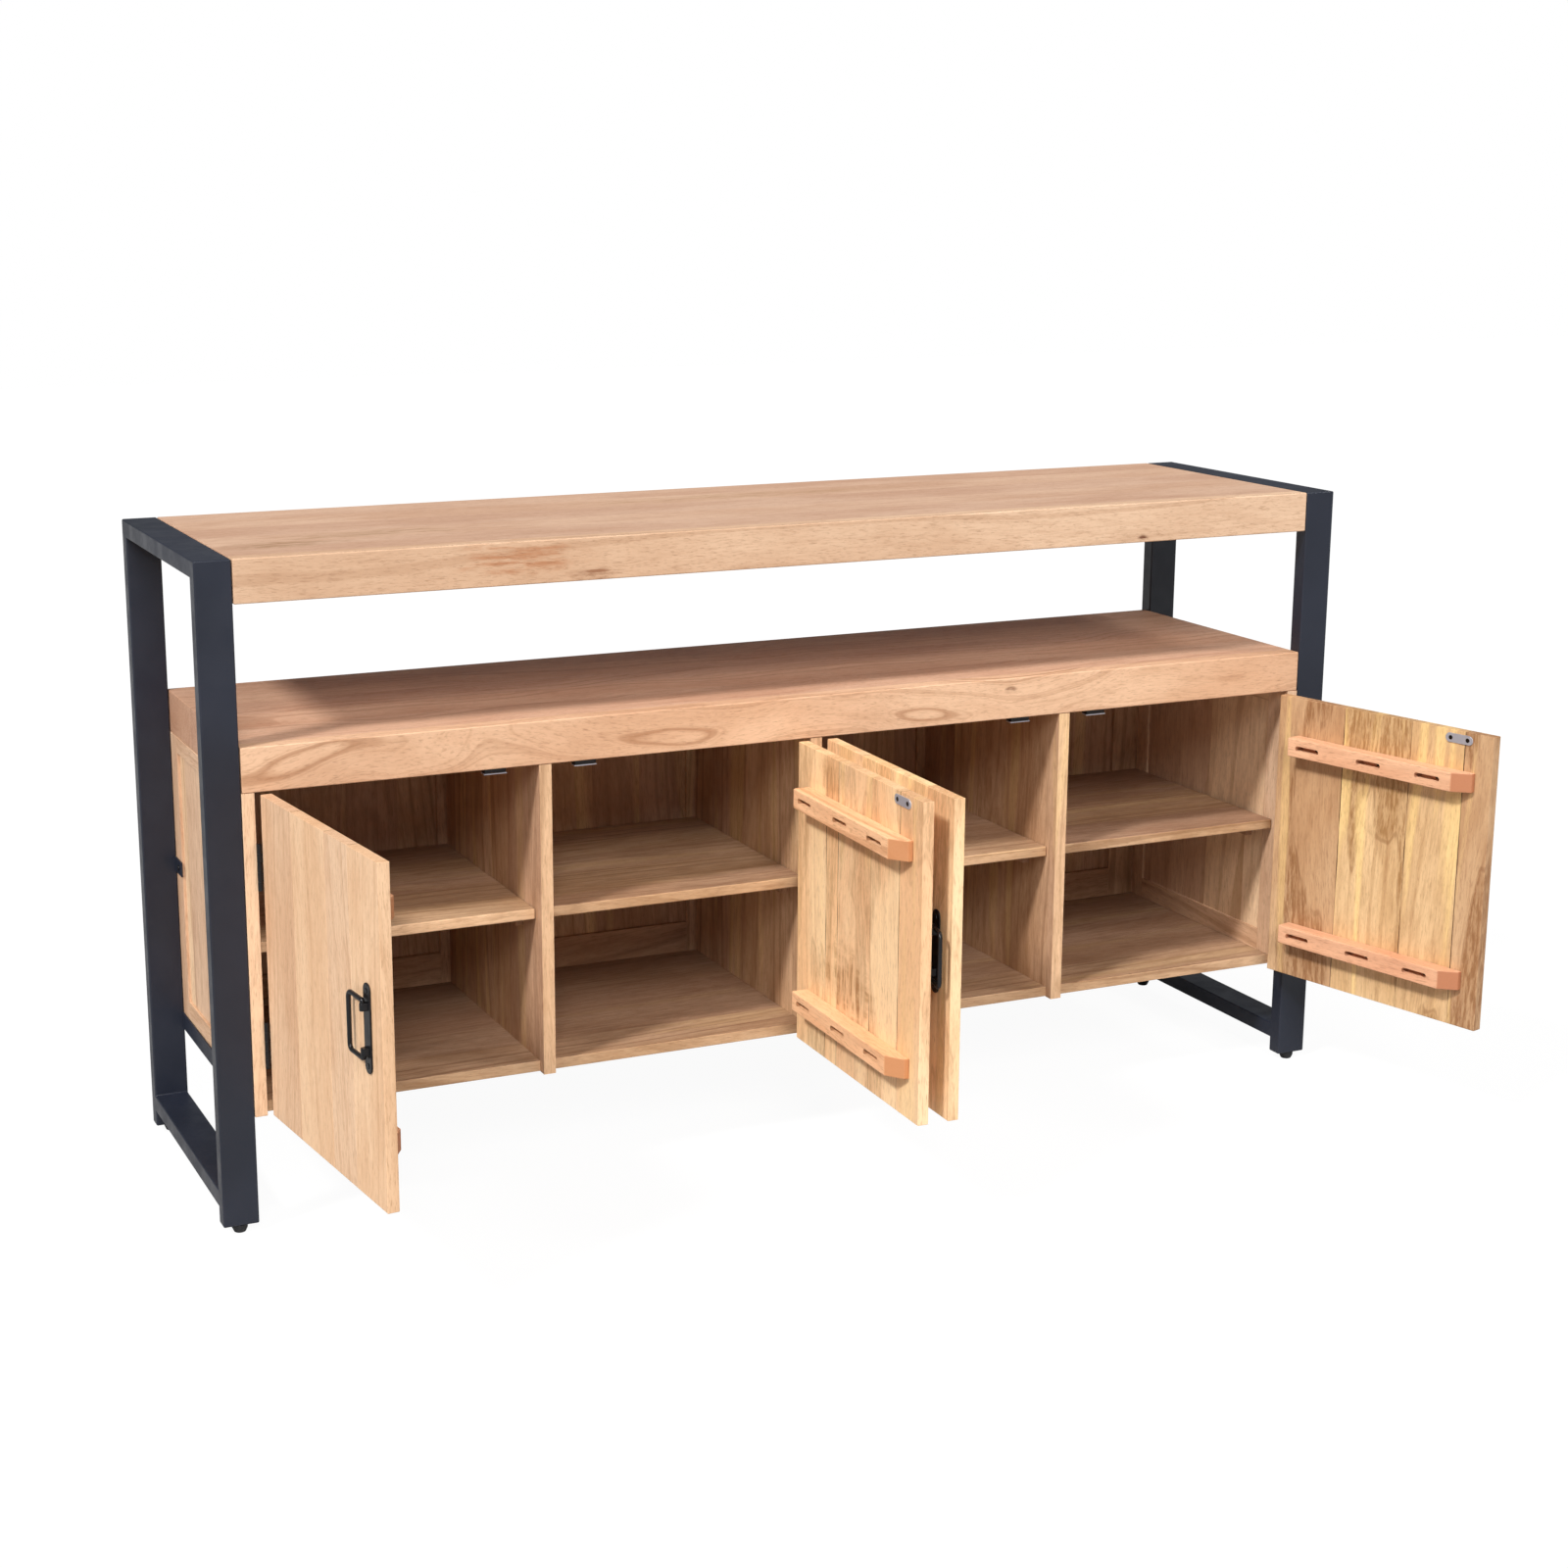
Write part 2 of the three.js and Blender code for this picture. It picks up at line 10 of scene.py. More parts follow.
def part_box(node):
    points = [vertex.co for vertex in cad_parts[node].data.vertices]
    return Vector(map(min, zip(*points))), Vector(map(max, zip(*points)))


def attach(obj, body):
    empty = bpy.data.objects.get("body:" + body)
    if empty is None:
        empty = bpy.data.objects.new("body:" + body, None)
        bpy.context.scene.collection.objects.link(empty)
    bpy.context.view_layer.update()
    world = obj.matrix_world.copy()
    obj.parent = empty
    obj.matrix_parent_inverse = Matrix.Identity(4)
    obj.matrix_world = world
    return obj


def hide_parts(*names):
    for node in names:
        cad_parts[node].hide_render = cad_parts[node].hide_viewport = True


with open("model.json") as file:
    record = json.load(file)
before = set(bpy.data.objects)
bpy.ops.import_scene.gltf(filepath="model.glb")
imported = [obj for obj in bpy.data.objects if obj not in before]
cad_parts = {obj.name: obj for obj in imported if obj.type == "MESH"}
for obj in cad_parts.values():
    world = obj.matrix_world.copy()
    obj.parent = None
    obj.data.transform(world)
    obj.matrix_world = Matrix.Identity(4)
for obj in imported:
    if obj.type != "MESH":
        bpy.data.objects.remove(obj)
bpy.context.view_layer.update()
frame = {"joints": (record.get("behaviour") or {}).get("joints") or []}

# ---------------------------------------------------------------- sizes, in metres
MM = 0.001
HEIGHT = 0.935
TUBE_DEPTH = 25 * MM
SHEET = 2.7 * MM                # thickness of the welded tabs and of the cabinet angles
TAB_REACH = 40 * MM
TAB_LOW, TAB_HIGH = 409 * MM, 431 * MM
TAB_SCREW_PLACE = 26 * MM       # from the back leg's inner face
FOOT_SIDES = 48
FOOT_FLUTE = 0.035
FOOT_TAPER_FROM, FOOT_TAPER_TO = 0.6 * MM, 7.2 * MM
FOOT_PROFILE = (                # height, and the share of the full radius
    (0.0, 0.70), (FOOT_TAPER_FROM, 0.76), (6.0 * MM, 0.985), (FOOT_TAPER_TO, 1.0),
    (11.2 * MM, 1.0), (11.6 * MM, 0.96),
)
LEG_CAP_INSET = 2.4 * MM
LEG_CAP_LOW, LEG_CAP_HIGH = 11.7 * MM, 12.6 * MM
STILE = 49 * MM                 # width of the stiles and rails around a panel
NOSE_DEPTH, NOSE_TOP = 15.7 * MM, 182.3 * MM     # the partition's foot in front of the floor
CLEAT_WIDTH = 12 * MM
CLEAT_FRONT, CLEAT_BACK = 75 * MM, 412 * MM
CLEAT_TOP, CLEAT_LOW = 0.3 * MM, 22.3 * MM       # below the shelf

HINGE_AXIS_IN = 1.85 * MM       # from the wall of the bay to the hinge line
HINGE_AXIS_Y = -4.2 * MM        # from the front plane to the hinge line
HINGE_INSET = 100 * MM          # from the end of the door to the middle of a hinge
HINGE_HALF = 32.5 * MM
LEAF_DEPTH = 13 * MM
DOOR_LEAF = (2.2 * MM, 3.7 * MM)                 # from the wall of the bay
POST_LEAF = (0.3 * MM, 1.5 * MM)
KNUCKLE = 13 * MM
KNUCKLE_GAP = 0.15 * MM         # at each end of a knuckle
BARREL_RADIUS, PIN_RADIUS = 3.3 * MM, 1.2 * MM
DOOR_EDGE = 3.4 * MM            # from the wall of the bay to the door
DOOR_WIDTH = 397 * MM
DOOR_THICK = 16 * MM
DOOR_LOW, DOOR_HIGH = 168 * MM, 619 * MM
BATTEN_BASE = 16.3 * MM
BATTEN_FACE = BATTEN_BASE + 26 * MM
BATTEN_TIP = BATTEN_BASE + 7.5 * MM
BATTEN_START, BATTEN_BEND, BATTEN_END = 43 * MM, 348 * MM, 373 * MM
BATTEN_HALF = 14.5 * MM
BATTEN_INSET = 73 * MM
SLOT_PLACES = (81 * MM, 198 * MM, 306 * MM)
SLOT_LENGTH, SLOT_WIDTH, SLOT_DEPTH = 45 * MM, 8 * MM, 18 * MM
STRIKE_U = (317 * MM, 365 * MM)
STRIKE_Z = (DOOR_LOW + 432 * MM, DOOR_LOW + 446 * MM)
STRIKE_SCREW_PLACE = 15 * MM    # to either side of the plate's middle
HANDLE_U, HANDLE_Z = 358 * MM, 398 * MM
PLATE_LENGTH, PLATE_WIDTH = 118 * MM, 20 * MM
PLATE_FACE, PLATE_BACK = -2.8 * MM, -0.3 * MM
PLATE_SCREW_PLACE = 49 * MM     # above and below the handle's middle
LUG_LOW, LUG_HIGH = 24 * MM, 34 * MM
LUG_RADIUS = 4 * MM
BAIL_OUT = 8 * MM
BAIL_REACH, BAIL_HALF = 45 * MM, 38 * MM
BAIL_CORNER, BAIL_RADIUS = 8 * MM, 3.1 * MM
BAIL_PIN = 0.62                 # the pin's share of the bar's thickness
BAIL_SWINGS = {1: 0.0, 2: 0.0, 3: 167.0, 4: 0.0}   # degrees from where the loop hangs on door 1
ARC_STEPS = 10
SIDES = {1: 1, 2: -1, 3: 1, 4: -1}   # 1 where the door is hinged on the left of its bay
AXES = {"x": (0, 1, 2), "y": (1, 2, 0), "z": (2, 0, 1)}
joints = {j["name"]: j for j in frame["joints"]}
scene = bpy.context.scene

frame_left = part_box("left_front_leg")
frame_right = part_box("right_front_leg")
MID_X = (frame_left[0].x + frame_right[1].x) / 2
FRONT_Y = frame_left[0].y
ROOT = Matrix.Translation((MID_X, FRONT_Y, 0))


# ---------------------------------------------------------------- node helpers
class Nodes:
    """A short way to write a material's nodes."""

    def __init__(self, name):
        self.material = bpy.data.materials.new(name)
        self.material.use_nodes = True
        self.tree = self.material.node_tree
        self.tree.nodes.clear()
        self.out = self.tree.nodes.new("ShaderNodeOutputMaterial")
        self.shader = self.tree.nodes.new("ShaderNodeBsdfPrincipled")
        self.link(self.shader.outputs[0], self.out.inputs["Surface"])

    def link(self, a, b):
        self.tree.links.new(a, b)

    def put(self, socket, value):
        if isinstance(value, bpy.types.NodeSocket):
            self.link(value, socket)
        elif value is not None:
            socket.default_value = value

    def attribute(self, name, output):
        node = self.tree.nodes.new("ShaderNodeAttribute")
        node.attribute_name = name
        return node.outputs[output]

    def vector(self, operation, a, b=None, output=0):
        node = self.tree.nodes.new("ShaderNodeVectorMath")
        node.operation = operation
        self.put(node.inputs[0], a)
        self.put(node.inputs[1], b)
        return node.outputs[output]

    def length(self, a):
        return self.vector("LENGTH", a, output="Value")

    def math(self, operation, a, b=None):
        node = self.tree.nodes.new("ShaderNodeMath")
        node.operation = operation
        self.put(node.inputs[0], a)
        self.put(node.inputs[1], b)
        return node.outputs[0]

    def noise(self, where, stretch=(1, 1, 1), detail=2.0, rough=0.5, colour=False):
        node = self.tree.nodes.new("ShaderNodeTexNoise")
        node.inputs["Scale"].default_value = 1.0
        node.inputs["Detail"].default_value = detail
        node.inputs["Roughness"].default_value = rough
        self.link(self.vector("MULTIPLY", where, stretch), node.inputs["Vector"])
        return node.outputs["Color" if colour else 0]

    def line_noise(self, where, detail=2.0):
        node = self.tree.nodes.new("ShaderNodeTexNoise")
        node.noise_dimensions = "1D"
        node.inputs["Scale"].default_value = 1.0
        node.inputs["Detail"].default_value = detail
        self.link(where, node.inputs["W"])
        return node.outputs[0]

    def ramp(self, value, low, high, to_low=0.0, to_high=1.0):
        node = self.tree.nodes.new("ShaderNodeMapRange")
        node.interpolation_type = "SMOOTHSTEP"
        for i, v in enumerate((low, high, to_low, to_high), 1):
            node.inputs[i].default_value = v
        self.link(value, node.inputs[0])
        return node.outputs[0]

    def mix(self, factor, a, b):
        node = self.tree.nodes.new("ShaderNodeMix")
        node.data_type = "RGBA"
        self.put(node.inputs[0], factor)
        self.put(node.inputs[6], a)
        self.put(node.inputs[7], b)
        return node.outputs[2]

    def bump(self, height, distance, strength=1.0):
        node = self.tree.nodes.new("ShaderNodeBump")
        node.inputs["Distance"].default_value = distance
        node.inputs["Strength"].default_value = strength
        self.link(height, node.inputs["Height"])
        self.link(node.outputs[0], self.shader.inputs["Normal"])


def rgb(r, g, b):
    """A colour given as it looks on a screen, 0 to 255."""
    return tuple((c / 255) ** 2.2 for c in (r, g, b)) + (1.0,)


# ---------------------------------------------------------------- materials
def wood(name, light, mid, dark, rings=0.4, swirl=0.05, waves=(1.7, 5, 5), figure=1.0, spalt=0.0,
         gloss=0.45, shade=1.0, end_grain=0.25, patches=()):
    """A pale hardwood. The grain attribute runs along the board in x; tone is one number per plank,
    raised as painted light on faces that look forward, joint marks the dark line between two planks and
    across marks the faces that cut the fibres.

    rings is how strong the growth rings are, swirl and waves how far and how often they wander,
    figure how streaky it is, spalt how much of it is stained and end_grain how dark its ends are.
    patches are (place in the piece's own coordinates, size, colour, strength)."""
    n = Nodes(name)
    grain = n.attribute("grain", "Vector")
    place = n.attribute("place", "Vector")
    tone = n.attribute("tone", "Fac")
    joint = n.attribute("joint", "Fac")
    cut_across = n.attribute("across", "Fac")

    wander = n.noise(grain, waves, 1.5, 0.45, colour=True)
    wander = n.vector("SUBTRACT", wander, (0.5, 0.5, 0.5))
    bent = n.vector("ADD", grain, n.vector("MULTIPLY", wander, (0.0, swirl, swirl)))
    across = n.length(n.vector("MULTIPLY", bent, (0.0, 1.0, 1.0)))
    ring = n.ramp(n.line_noise(n.math("MULTIPLY", across, 95.0), 3.0), 0.50, 0.72)
    blotch = n.noise(grain, (3.0, 10, 10), 3.0, 0.5)
    mottle = n.noise(bent, (13, 60, 60), 3.0, 0.6)
    streak = n.noise(bent, (2.6, 38, 38), 3.0, 0.55)
    fibre = n.noise(bent, (26, 300, 300), 4.0, 0.62)
    dash = n.ramp(n.noise(bent, (52, 420, 420), 2.0, 0.6), 0.54, 0.68)
    pores = n.ramp(n.noise(grain, (75, 1100, 1100), 1.0, 0.5), 0.60, 0.74)

    colour = n.mix(n.ramp(blotch, 0.36, 0.66), light, mid)
    colour = n.mix(n.ramp(mottle, 0.44, 0.74, 0.0, 0.30 * figure), colour, dark)
    colour = n.mix(n.math("MULTIPLY", ring, n.ramp(tone, 0.30, 0.58, 0.4 * rings, rings)), colour, dark)
    colour = n.mix(n.ramp(streak, 0.54, 0.78, 0.0, 0.40 * figure), colour, dark)
    if spalt:
        region = n.noise(bent, (2.1, 11, 11), 2.0, 0.5)
        inside = n.ramp(region, 0.485, 0.525)
        speckle = n.ramp(n.noise(bent, (30, 210, 210), 3.0, 0.7), 0.40, 0.62, 0.30, 1.0)
        stained = n.math("MULTIPLY", n.math("MULTIPLY", inside, speckle), spalt)
        colour = n.mix(stained, colour, rgb(148, 104, 64))
        from_edge = n.math("ABSOLUTE", n.math("SUBTRACT", region, 0.5))
        zone_line = n.ramp(from_edge, 0.002, 0.009, 0.5 * spalt, 0.0)
        colour = n.mix(n.math("MULTIPLY", zone_line, n.ramp(mottle, 0.40, 0.60)), colour, rgb(120, 74, 40))
        pale = n.ramp(n.noise(bent, (1.2, 24, 24), 2.0, 0.5), 0.57, 0.66, 0.0, 0.8)
        colour = n.mix(n.math("MULTIPLY", pale, spalt), colour, rgb(244, 206, 142))
    for where, size, stain, strength in patches:
        off = n.vector("SUBTRACT", place, where)
        off = n.vector("DIVIDE", off, size)
        rough = n.noise(place, (22, 60, 60), 4.0, 0.6, colour=True)
        rough = n.vector("MULTIPLY", n.vector("SUBTRACT", rough, (0.5, 0.5, 0.5)), (2.0, 2.0, 2.0))
        near = n.ramp(n.length(n.vector("ADD", off, rough)), 0.35, 1.15, 1.0, 0.0)
        grainy = n.ramp(n.noise(bent, (13, 120, 120), 4.0, 0.65), 0.40, 0.60, 0.15, 1.0)
        colour = n.mix(n.math("MULTIPLY", n.math("MULTIPLY", near, grainy), strength), colour, stain)
    colour = n.mix(n.ramp(fibre, 0.40, 0.74, 0.0, 0.30 * figure), colour, dark)
    colour = n.mix(n.math("MULTIPLY", dash, 0.24), colour, rgb(132, 86, 54))
    colour = n.mix(n.math("MULTIPLY", pores, 0.34), colour, rgb(116, 74, 44))
    patchy = n.ramp(n.noise(place, (9, 9, 9), 2.0), 0.40, 0.58, 0.25, 0.95)
    colour = n.mix(n.math("MULTIPLY", joint, patchy), colour, rgb(62, 36, 20))
    colour = n.mix(n.math("MULTIPLY", cut_across, end_grain), colour, dark)
    tint = n.tree.nodes.new("ShaderNodeHueSaturation")
    n.link(n.ramp(tone, 0.0, 1.0, 0.494, 0.508), tint.inputs["Hue"])
    # brightness from the tone, which carries painted light on forward faces; shade scales it, and the shelf
    # wood's shade below 1 is painted shade
    bright = n.math("ADD", n.math("MULTIPLY", tone, 0.38 * shade), 0.78 * shade)
    n.link(bright, tint.inputs["Value"])
    n.link(colour, tint.inputs["Color"])
    n.link(tint.outputs[0], n.shader.inputs["Base Color"])
    n.link(n.ramp(fibre, 0.3, 0.75, gloss, gloss + 0.2), n.shader.inputs["Roughness"])
    n.shader.inputs["Specular IOR Level"].default_value = 0.35
    height = n.math("SUBTRACT", n.math("MULTIPLY", fibre, 0.5), n.math("MULTIPLY", pores, 0.6))
    n.bump(height, 0.00035, 0.55)
    return n.material


def coated(name, colour, lighter, rough, metallic, grit, grit_size):
    """Powder coat, lacquered iron or moulded plastic: fine grit and faint uneven wear."""
    n = Nodes(name)
    coords = n.tree.nodes.new("ShaderNodeTexCoord").outputs["Object"]
    cloud = n.noise(coords, (5, 5, 5), 3.0, 0.55)
    fine = n.noise(coords, (grit_size,) * 3, 2.0, 0.6)
    n.link(n.mix(n.ramp(cloud, 0.35, 0.7), colour, lighter), n.shader.inputs["Base Color"])
    n.link(n.ramp(n.noise(coords, (28, 28, 28), 3.0, 0.6), 0.3, 0.7, rough - 0.06, rough + 0.08),
           n.shader.inputs["Roughness"])
    n.shader.inputs["Metallic"].default_value = metallic
    n.bump(fine, grit, 0.6)
    return n.material


TOP = dict(light=rgb(214, 178, 150), mid=rgb(201, 162, 134), dark=rgb(164, 120, 92))
PALE = dict(light=rgb(250, 214, 168), mid=rgb(242, 195, 148), dark=rgb(190, 138, 96),
            rings=0.30, figure=0.50, spalt=0.42, shade=1.1)
# colours of the inside walls, darker than the carcass wood: painted shade for the inside of the cabinet
SHADED_INSIDE = dict(light=rgb(206, 166, 134), mid=rgb(188, 146, 114), dark=rgb(134, 92, 64))
TOP_PATCHES = (
    ((-0.45, 0.0, 0.911), (0.100, 0.09, 0.026), rgb(172, 114, 82), 0.85),
    ((-0.34, 0.0, 0.884), (0.045, 0.05, 0.010), rgb(132, 80, 54), 0.80),
    ((0.549, 0.0, 0.882), (0.010, 0.02, 0.006), rgb(96, 52, 34), 0.95),
    ((-0.76, 0.10, 0.935), (0.11, 0.032, 0.02), rgb(150, 116, 80), 0.70),
    ((-0.62, 0.16, 0.935), (0.13, 0.034, 0.02), rgb(150, 116, 80), 0.60),
    ((0.02, 0.33, 0.935), (0.30, 0.030, 0.02), rgb(170, 134, 98), 0.55),
)
CABINET_TOP_PATCHES = (
    ((0.325, 0.0, 0.664), (0.012, 0.02, 0.006), rgb(104, 60, 40), 0.9),
)
DOOR_STAINS = (
    ((-0.180, 0.016, 0.300), (0.075, 0.02, 0.060), rgb(150, 102, 54), 0.75),
    ((-0.115, 0.016, 0.590), (0.045, 0.02, 0.030), rgb(150, 104, 60), 0.55),
)
MATERIALS = {
    "top": wood("top_wood", **TOP, rings=0.30, figure=0.6, patches=TOP_PATCHES),
    "shelf_top": wood("cabinet_top_wood", rgb(224, 182, 150), rgb(210, 164, 132), rgb(158, 108, 76),
                      rings=0.85, swirl=0.14, waves=(3.0, 5, 5), figure=0.5,
                      patches=CABINET_TOP_PATCHES),
    "door": wood("door_wood", rgb(220, 183, 152), rgb(208, 166, 134), rgb(172, 124, 92),
                 rings=0.35, figure=0.75, shade=1.04),
    "spalted": wood("spalted_door_wood", rgb(224, 186, 142), rgb(206, 164, 120), rgb(158, 112, 74),
                    rings=0.32, spalt=0.85),
    "plain_door": wood("pale_door_wood", **PALE),
    "stained_door": wood("stained_door_wood", **PALE, patches=DOOR_STAINS),
    "batten": wood("batten_wood", rgb(250, 198, 156), rgb(240, 180, 138), rgb(184, 122, 84),
                   rings=0.45, figure=0.5, end_grain=0.95),
    "carcass": wood("carcass_wood", rgb(234, 198, 164), rgb(220, 180, 146), rgb(170, 124, 92),
                    rings=0.42),
    # the back, partitions and cleats take the darker inside colours, which are painted shade
    "inside": wood("shaded_inside_wood", **SHADED_INSIDE, rings=0.45, spalt=0.30, gloss=0.5),
    # the floor and shelves: the inside colours made darker still by shade=0.76, painted shade
    "shelf": wood("shelf_wood", **SHADED_INSIDE, rings=0.55, spalt=0.18, gloss=0.5, shade=0.76),
    "steel": coated("steel_powder_coat", rgb(30, 34, 45), rgb(36, 40, 52), 0.42, 0.0, 0.00006, 1400),
    "iron": coated("handle_lacquer", rgb(26, 26, 28), rgb(34, 34, 37), 0.34, 0.35, 0.00005, 900),
    "plastic": coated("moulded_plastic", rgb(24, 24, 27), rgb(32, 32, 35), 0.5, 0.0, 0.00004, 1200),
    "silver": coated("plated_steel", rgb(190, 192, 204), rgb(214, 216, 226), 0.34, 0.55, 0.00003, 600),
    "dark_screw": coated("dark_screw", rgb(36, 30, 28), rgb(50, 44, 40), 0.4, 0.6, 0.00003, 800),
}


# ---------------------------------------------------------------- mesh helpers
def block(lo, hi):
    bm = bmesh.new()
    bmesh.ops.create_cube(bm, size=1.0)
    for v in bm.verts:
        v.co = Vector([lo[i] + (v.co[i] + 0.5) * (hi[i] - lo[i]) for i in range(3)])
    return bm


def prism(points, axis, low, high):
    """A straight prism; the outline is given in the two axes across it, in x, y, z order."""
    bm = bmesh.new()

    def at(p, w):
        co = list(p)
        co.insert("xyz".index(axis), w)
        return bm.verts.new(co)

    bottom = [at(p, low) for p in points]
    top = [at(p, high) for p in points]
    bm.faces.new(bottom)
    bm.faces.new(top)
    for i in range(len(points)):
        j = (i + 1) % len(points)
        bm.faces.new((bottom[i], bottom[j], top[j], top[i]))
    bmesh.ops.recalc_face_normals(bm, faces=bm.faces)
    return bm


def soften(bm, size, segments=2, limit=35):
    """Rounds every edge that turns by more than limit degrees."""
    edges = [e for e in bm.edges if e.is_manifold and e.calc_face_angle(0) > math.radians(limit)]
    bmesh.ops.bevel(bm, geom=edges, offset=size, offset_type="OFFSET", segments=segments,
                    profile=0.5, affect="EDGES", clamp_overlap=True)
    return bm


def slice_at(bm, axis, places):
    """Adds an edge loop across the mesh at each place, so that each plank has its own faces."""
    normal = Vector((0, 0, 0))
    normal["xyz".index(axis)] = 1.0
    for place in places:
        geom = bm.verts[:] + bm.edges[:] + bm.faces[:]
        bmesh.ops.bisect_plane(bm, geom=geom, plane_co=normal * place, plane_no=normal)
    return bm


def joined(*parts):
    whole = bmesh.new()
    for part in parts:
        mesh = bpy.data.meshes.new("part")
        part.to_mesh(mesh)
        part.free()
        whole.from_mesh(mesh)
        bpy.data.meshes.remove(mesh)
    return whole


def pill_points(cx, cy, length, width):
    """A slot's outline, long in the first axis."""
    r, half = width / 2, length / 2 - width / 2
    points = []
    for sign, start in ((1, -90), (-1, 90)):
        for k in range(ARC_STEPS + 1):
            a = math.radians(start + 180 * k / ARC_STEPS)
            points.append((cx + sign * half + r * math.cos(a), cy + r * math.sin(a)))
    return points


def disc_points(cx, cy, r, steps=20):
    return [(cx + r * math.cos(2 * math.pi * k / steps), cy + r * math.sin(2 * math.pi * k / steps))
            for k in range(steps)]


def skin(bm, rings):
    """Closes rings of vertices into a solid."""
    sides = len(rings[0])
    for r0, r1 in zip(rings, rings[1:]):
        for k in range(sides):
            j = (k + 1) % sides
            bm.faces.new((r0[k], r0[j], r1[j], r1[k]))
    bm.faces.new(rings[0])
    bm.faces.new(rings[-1])
    bmesh.ops.recalc_face_normals(bm, faces=bm.faces)
    return bm


def tube(points, radius, sides):
    """A round bar through points, with flat ends."""
    bm = bmesh.new()
    rings = []
    normal = None
    for i, p in enumerate(points):
        a = points[max(i - 1, 0)]
        b = points[min(i + 1, len(points) - 1)]
        along = (Vector(b) - Vector(a)).normalized()
        if normal is None:
            normal = along.orthogonal().normalized()
        normal = (normal - along * normal.dot(along)).normalized()
        other = along.cross(normal)
        ring = []
        for k in range(sides):
            t = 2 * math.pi * k / sides
            ring.append(bm.verts.new(Vector(p) + (normal * math.cos(t) + other * math.sin(t)) * radius))
        rings.append(ring)
    return skin(bm, rings)


def make(name, bm, material, body="root", matrix=ROOT, replaces=(), grain=None, seams=None,
         tones=(0.2, 0.9), front=0.0, open_from=None, planks=None):
    """Turns a mesh in building coordinates into a piece, and writes the attributes that wood reads.

    grain is the axis the fibres run along. seams are (axis, places) where one plank meets the next;
    they show as dark joints where y is above open_from, and nowhere if that is None.
    tones holds the range of plank tones, or the tone of each plank, and front is added to the
    tone of the faces that look forward, painted light that makes them lighter. planks sets the (offset,
    tilt) of a plank's grain."""
    mesh = bpy.data.meshes.new(name)
    bm.to_mesh(mesh)
    bm.free()
    mesh.shade_smooth()
    if grain:
        rng = random.Random("sideboard " + name)
        axis, places = seams or ("x", ())
        k = "xyz".index(axis)
        cut = []
        for _ in range(len(places) + 1):
            off = (rng.uniform(0, 9), rng.choice((-1, 1)) * rng.uniform(0.04, 0.16),
                   rng.choice((-1, 1)) * rng.uniform(0.03, 0.12))
            tilt = (rng.uniform(-0.06, 0.06), rng.uniform(-0.05, 0.05))
            cut.append((off, tilt, rng.uniform(tones[0], tones[1])))
        if len(tones) > 2:
            cut = [(off, tilt, t) for (off, tilt, _), t in zip(cut, tones)]
        for i, (off, tilt) in (planks or {}).items():
            cut[i] = (off, tilt, cut[i][2])
        order = AXES[grain]
        middle = [sum(v.co[i] for v in mesh.vertices) / len(mesh.vertices) for i in range(3)]
        grains, tone, place, joint, across = [], [], [], [], []
        for face in mesh.polygons:
            off, tilt, t = cut[sum(face.center[k] > p for p in places)]
            eased = open_from is not None and face.center.y > open_from and 0.2 < abs(face.normal[k]) < 0.95
            near = eased and min(abs(face.center[k] - p) for p in places) < 1.2 * MM
            joint += [float(near)] * len(face.vertices)
            across += [min(1.0, max(0.0, abs(face.normal[order[0]]) / 0.5 - 0.2))] * len(face.vertices)
            for v in face.vertices:
                co = mesh.vertices[v].co
                a, b, c = (co[i] - (middle[i] if i != order[0] else 0) for i in order)
                grains += [a + off[0], b + off[1] + a * tilt[0], c + off[2] + a * tilt[1]]
                # faces that look forward get front added to their tone: painted light
                tone.append(t + front * (face.normal.y < -0.5))
                place += list(co)
        mesh.attributes.new("grain", "FLOAT_VECTOR", "CORNER").data.foreach_set("vector", grains)
        mesh.attributes.new("place", "FLOAT_VECTOR", "CORNER").data.foreach_set("vector", place)
        mesh.attributes.new("tone", "FLOAT", "CORNER").data.foreach_set("value", tone)
        mesh.attributes.new("joint", "FLOAT", "CORNER").data.foreach_set("value", joint)
        mesh.attributes.new("across", "FLOAT", "CORNER").data.foreach_set("value", across)
    mesh.transform(matrix)
    if matrix.determinant() < 0:
        mesh.flip_normals()
    mesh.materials.append(MATERIALS[material])
    piece = bpy.data.objects.new(name, mesh)
    scene.collection.objects.link(piece)
    weighted = piece.modifiers.new("even_shading", "WEIGHTED_NORMAL")
    weighted.keep_sharp = True
    weighted.weight = 100
    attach(piece, body)
    if replaces:
        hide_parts(*replaces)
    return piece


def built_box(node):
    """A node's box in building coordinates: middle at x = 0, front plane at y = 0."""
    lo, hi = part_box(node)
    shift = Vector((MID_X, FRONT_Y, 0))
    return lo - shift, hi - shift


def uneven(name, lo, hi, width):
    """Plank joints about width apart."""
    rng = random.Random("planks " + name)
    places, at = [], lo
    while at + 1.6 * width < hi:
        at += width * rng.uniform(0.75, 1.2)
        places.append(at)
    return places


# ---------------------------------------------------------------- steel side frames
def grid_frame(x0, x1, ys, zs, cells):
    """A flat frame from x0 to x1: the outer faces of some cells of a grid in y and z."""
    bm = bmesh.new()
    verts = {}

    def corner(x, y, z):
        key = (round(x, 6), round(y, 6), round(z, 6))
        if key not in verts:
            verts[key] = bm.verts.new((x, y, z))
        return verts[key]

    for i, j in cells:
        ya, yb, za, zb = ys[i], ys[i + 1], zs[j], zs[j + 1]
        for x in (x0, x1):
            bm.faces.new([corner(x, ya, za), corner(x, yb, za), corner(x, yb, zb), corner(x, ya, zb)])
        walls = (((i - 1, j), (ya, za), (ya, zb)), ((i + 1, j), (yb, za), (yb, zb)),
                 ((i, j - 1), (ya, za), (yb, za)), ((i, j + 1), (ya, zb), (yb, zb)))
        for other, a, b in walls:
            if other not in cells:
                bm.faces.new([corner(x0, *a), corner(x0, *b), corner(x1, *b), corner(x1, *a)])
    bmesh.ops.recalc_face_normals(bm, faces=bm.faces)
    return bm


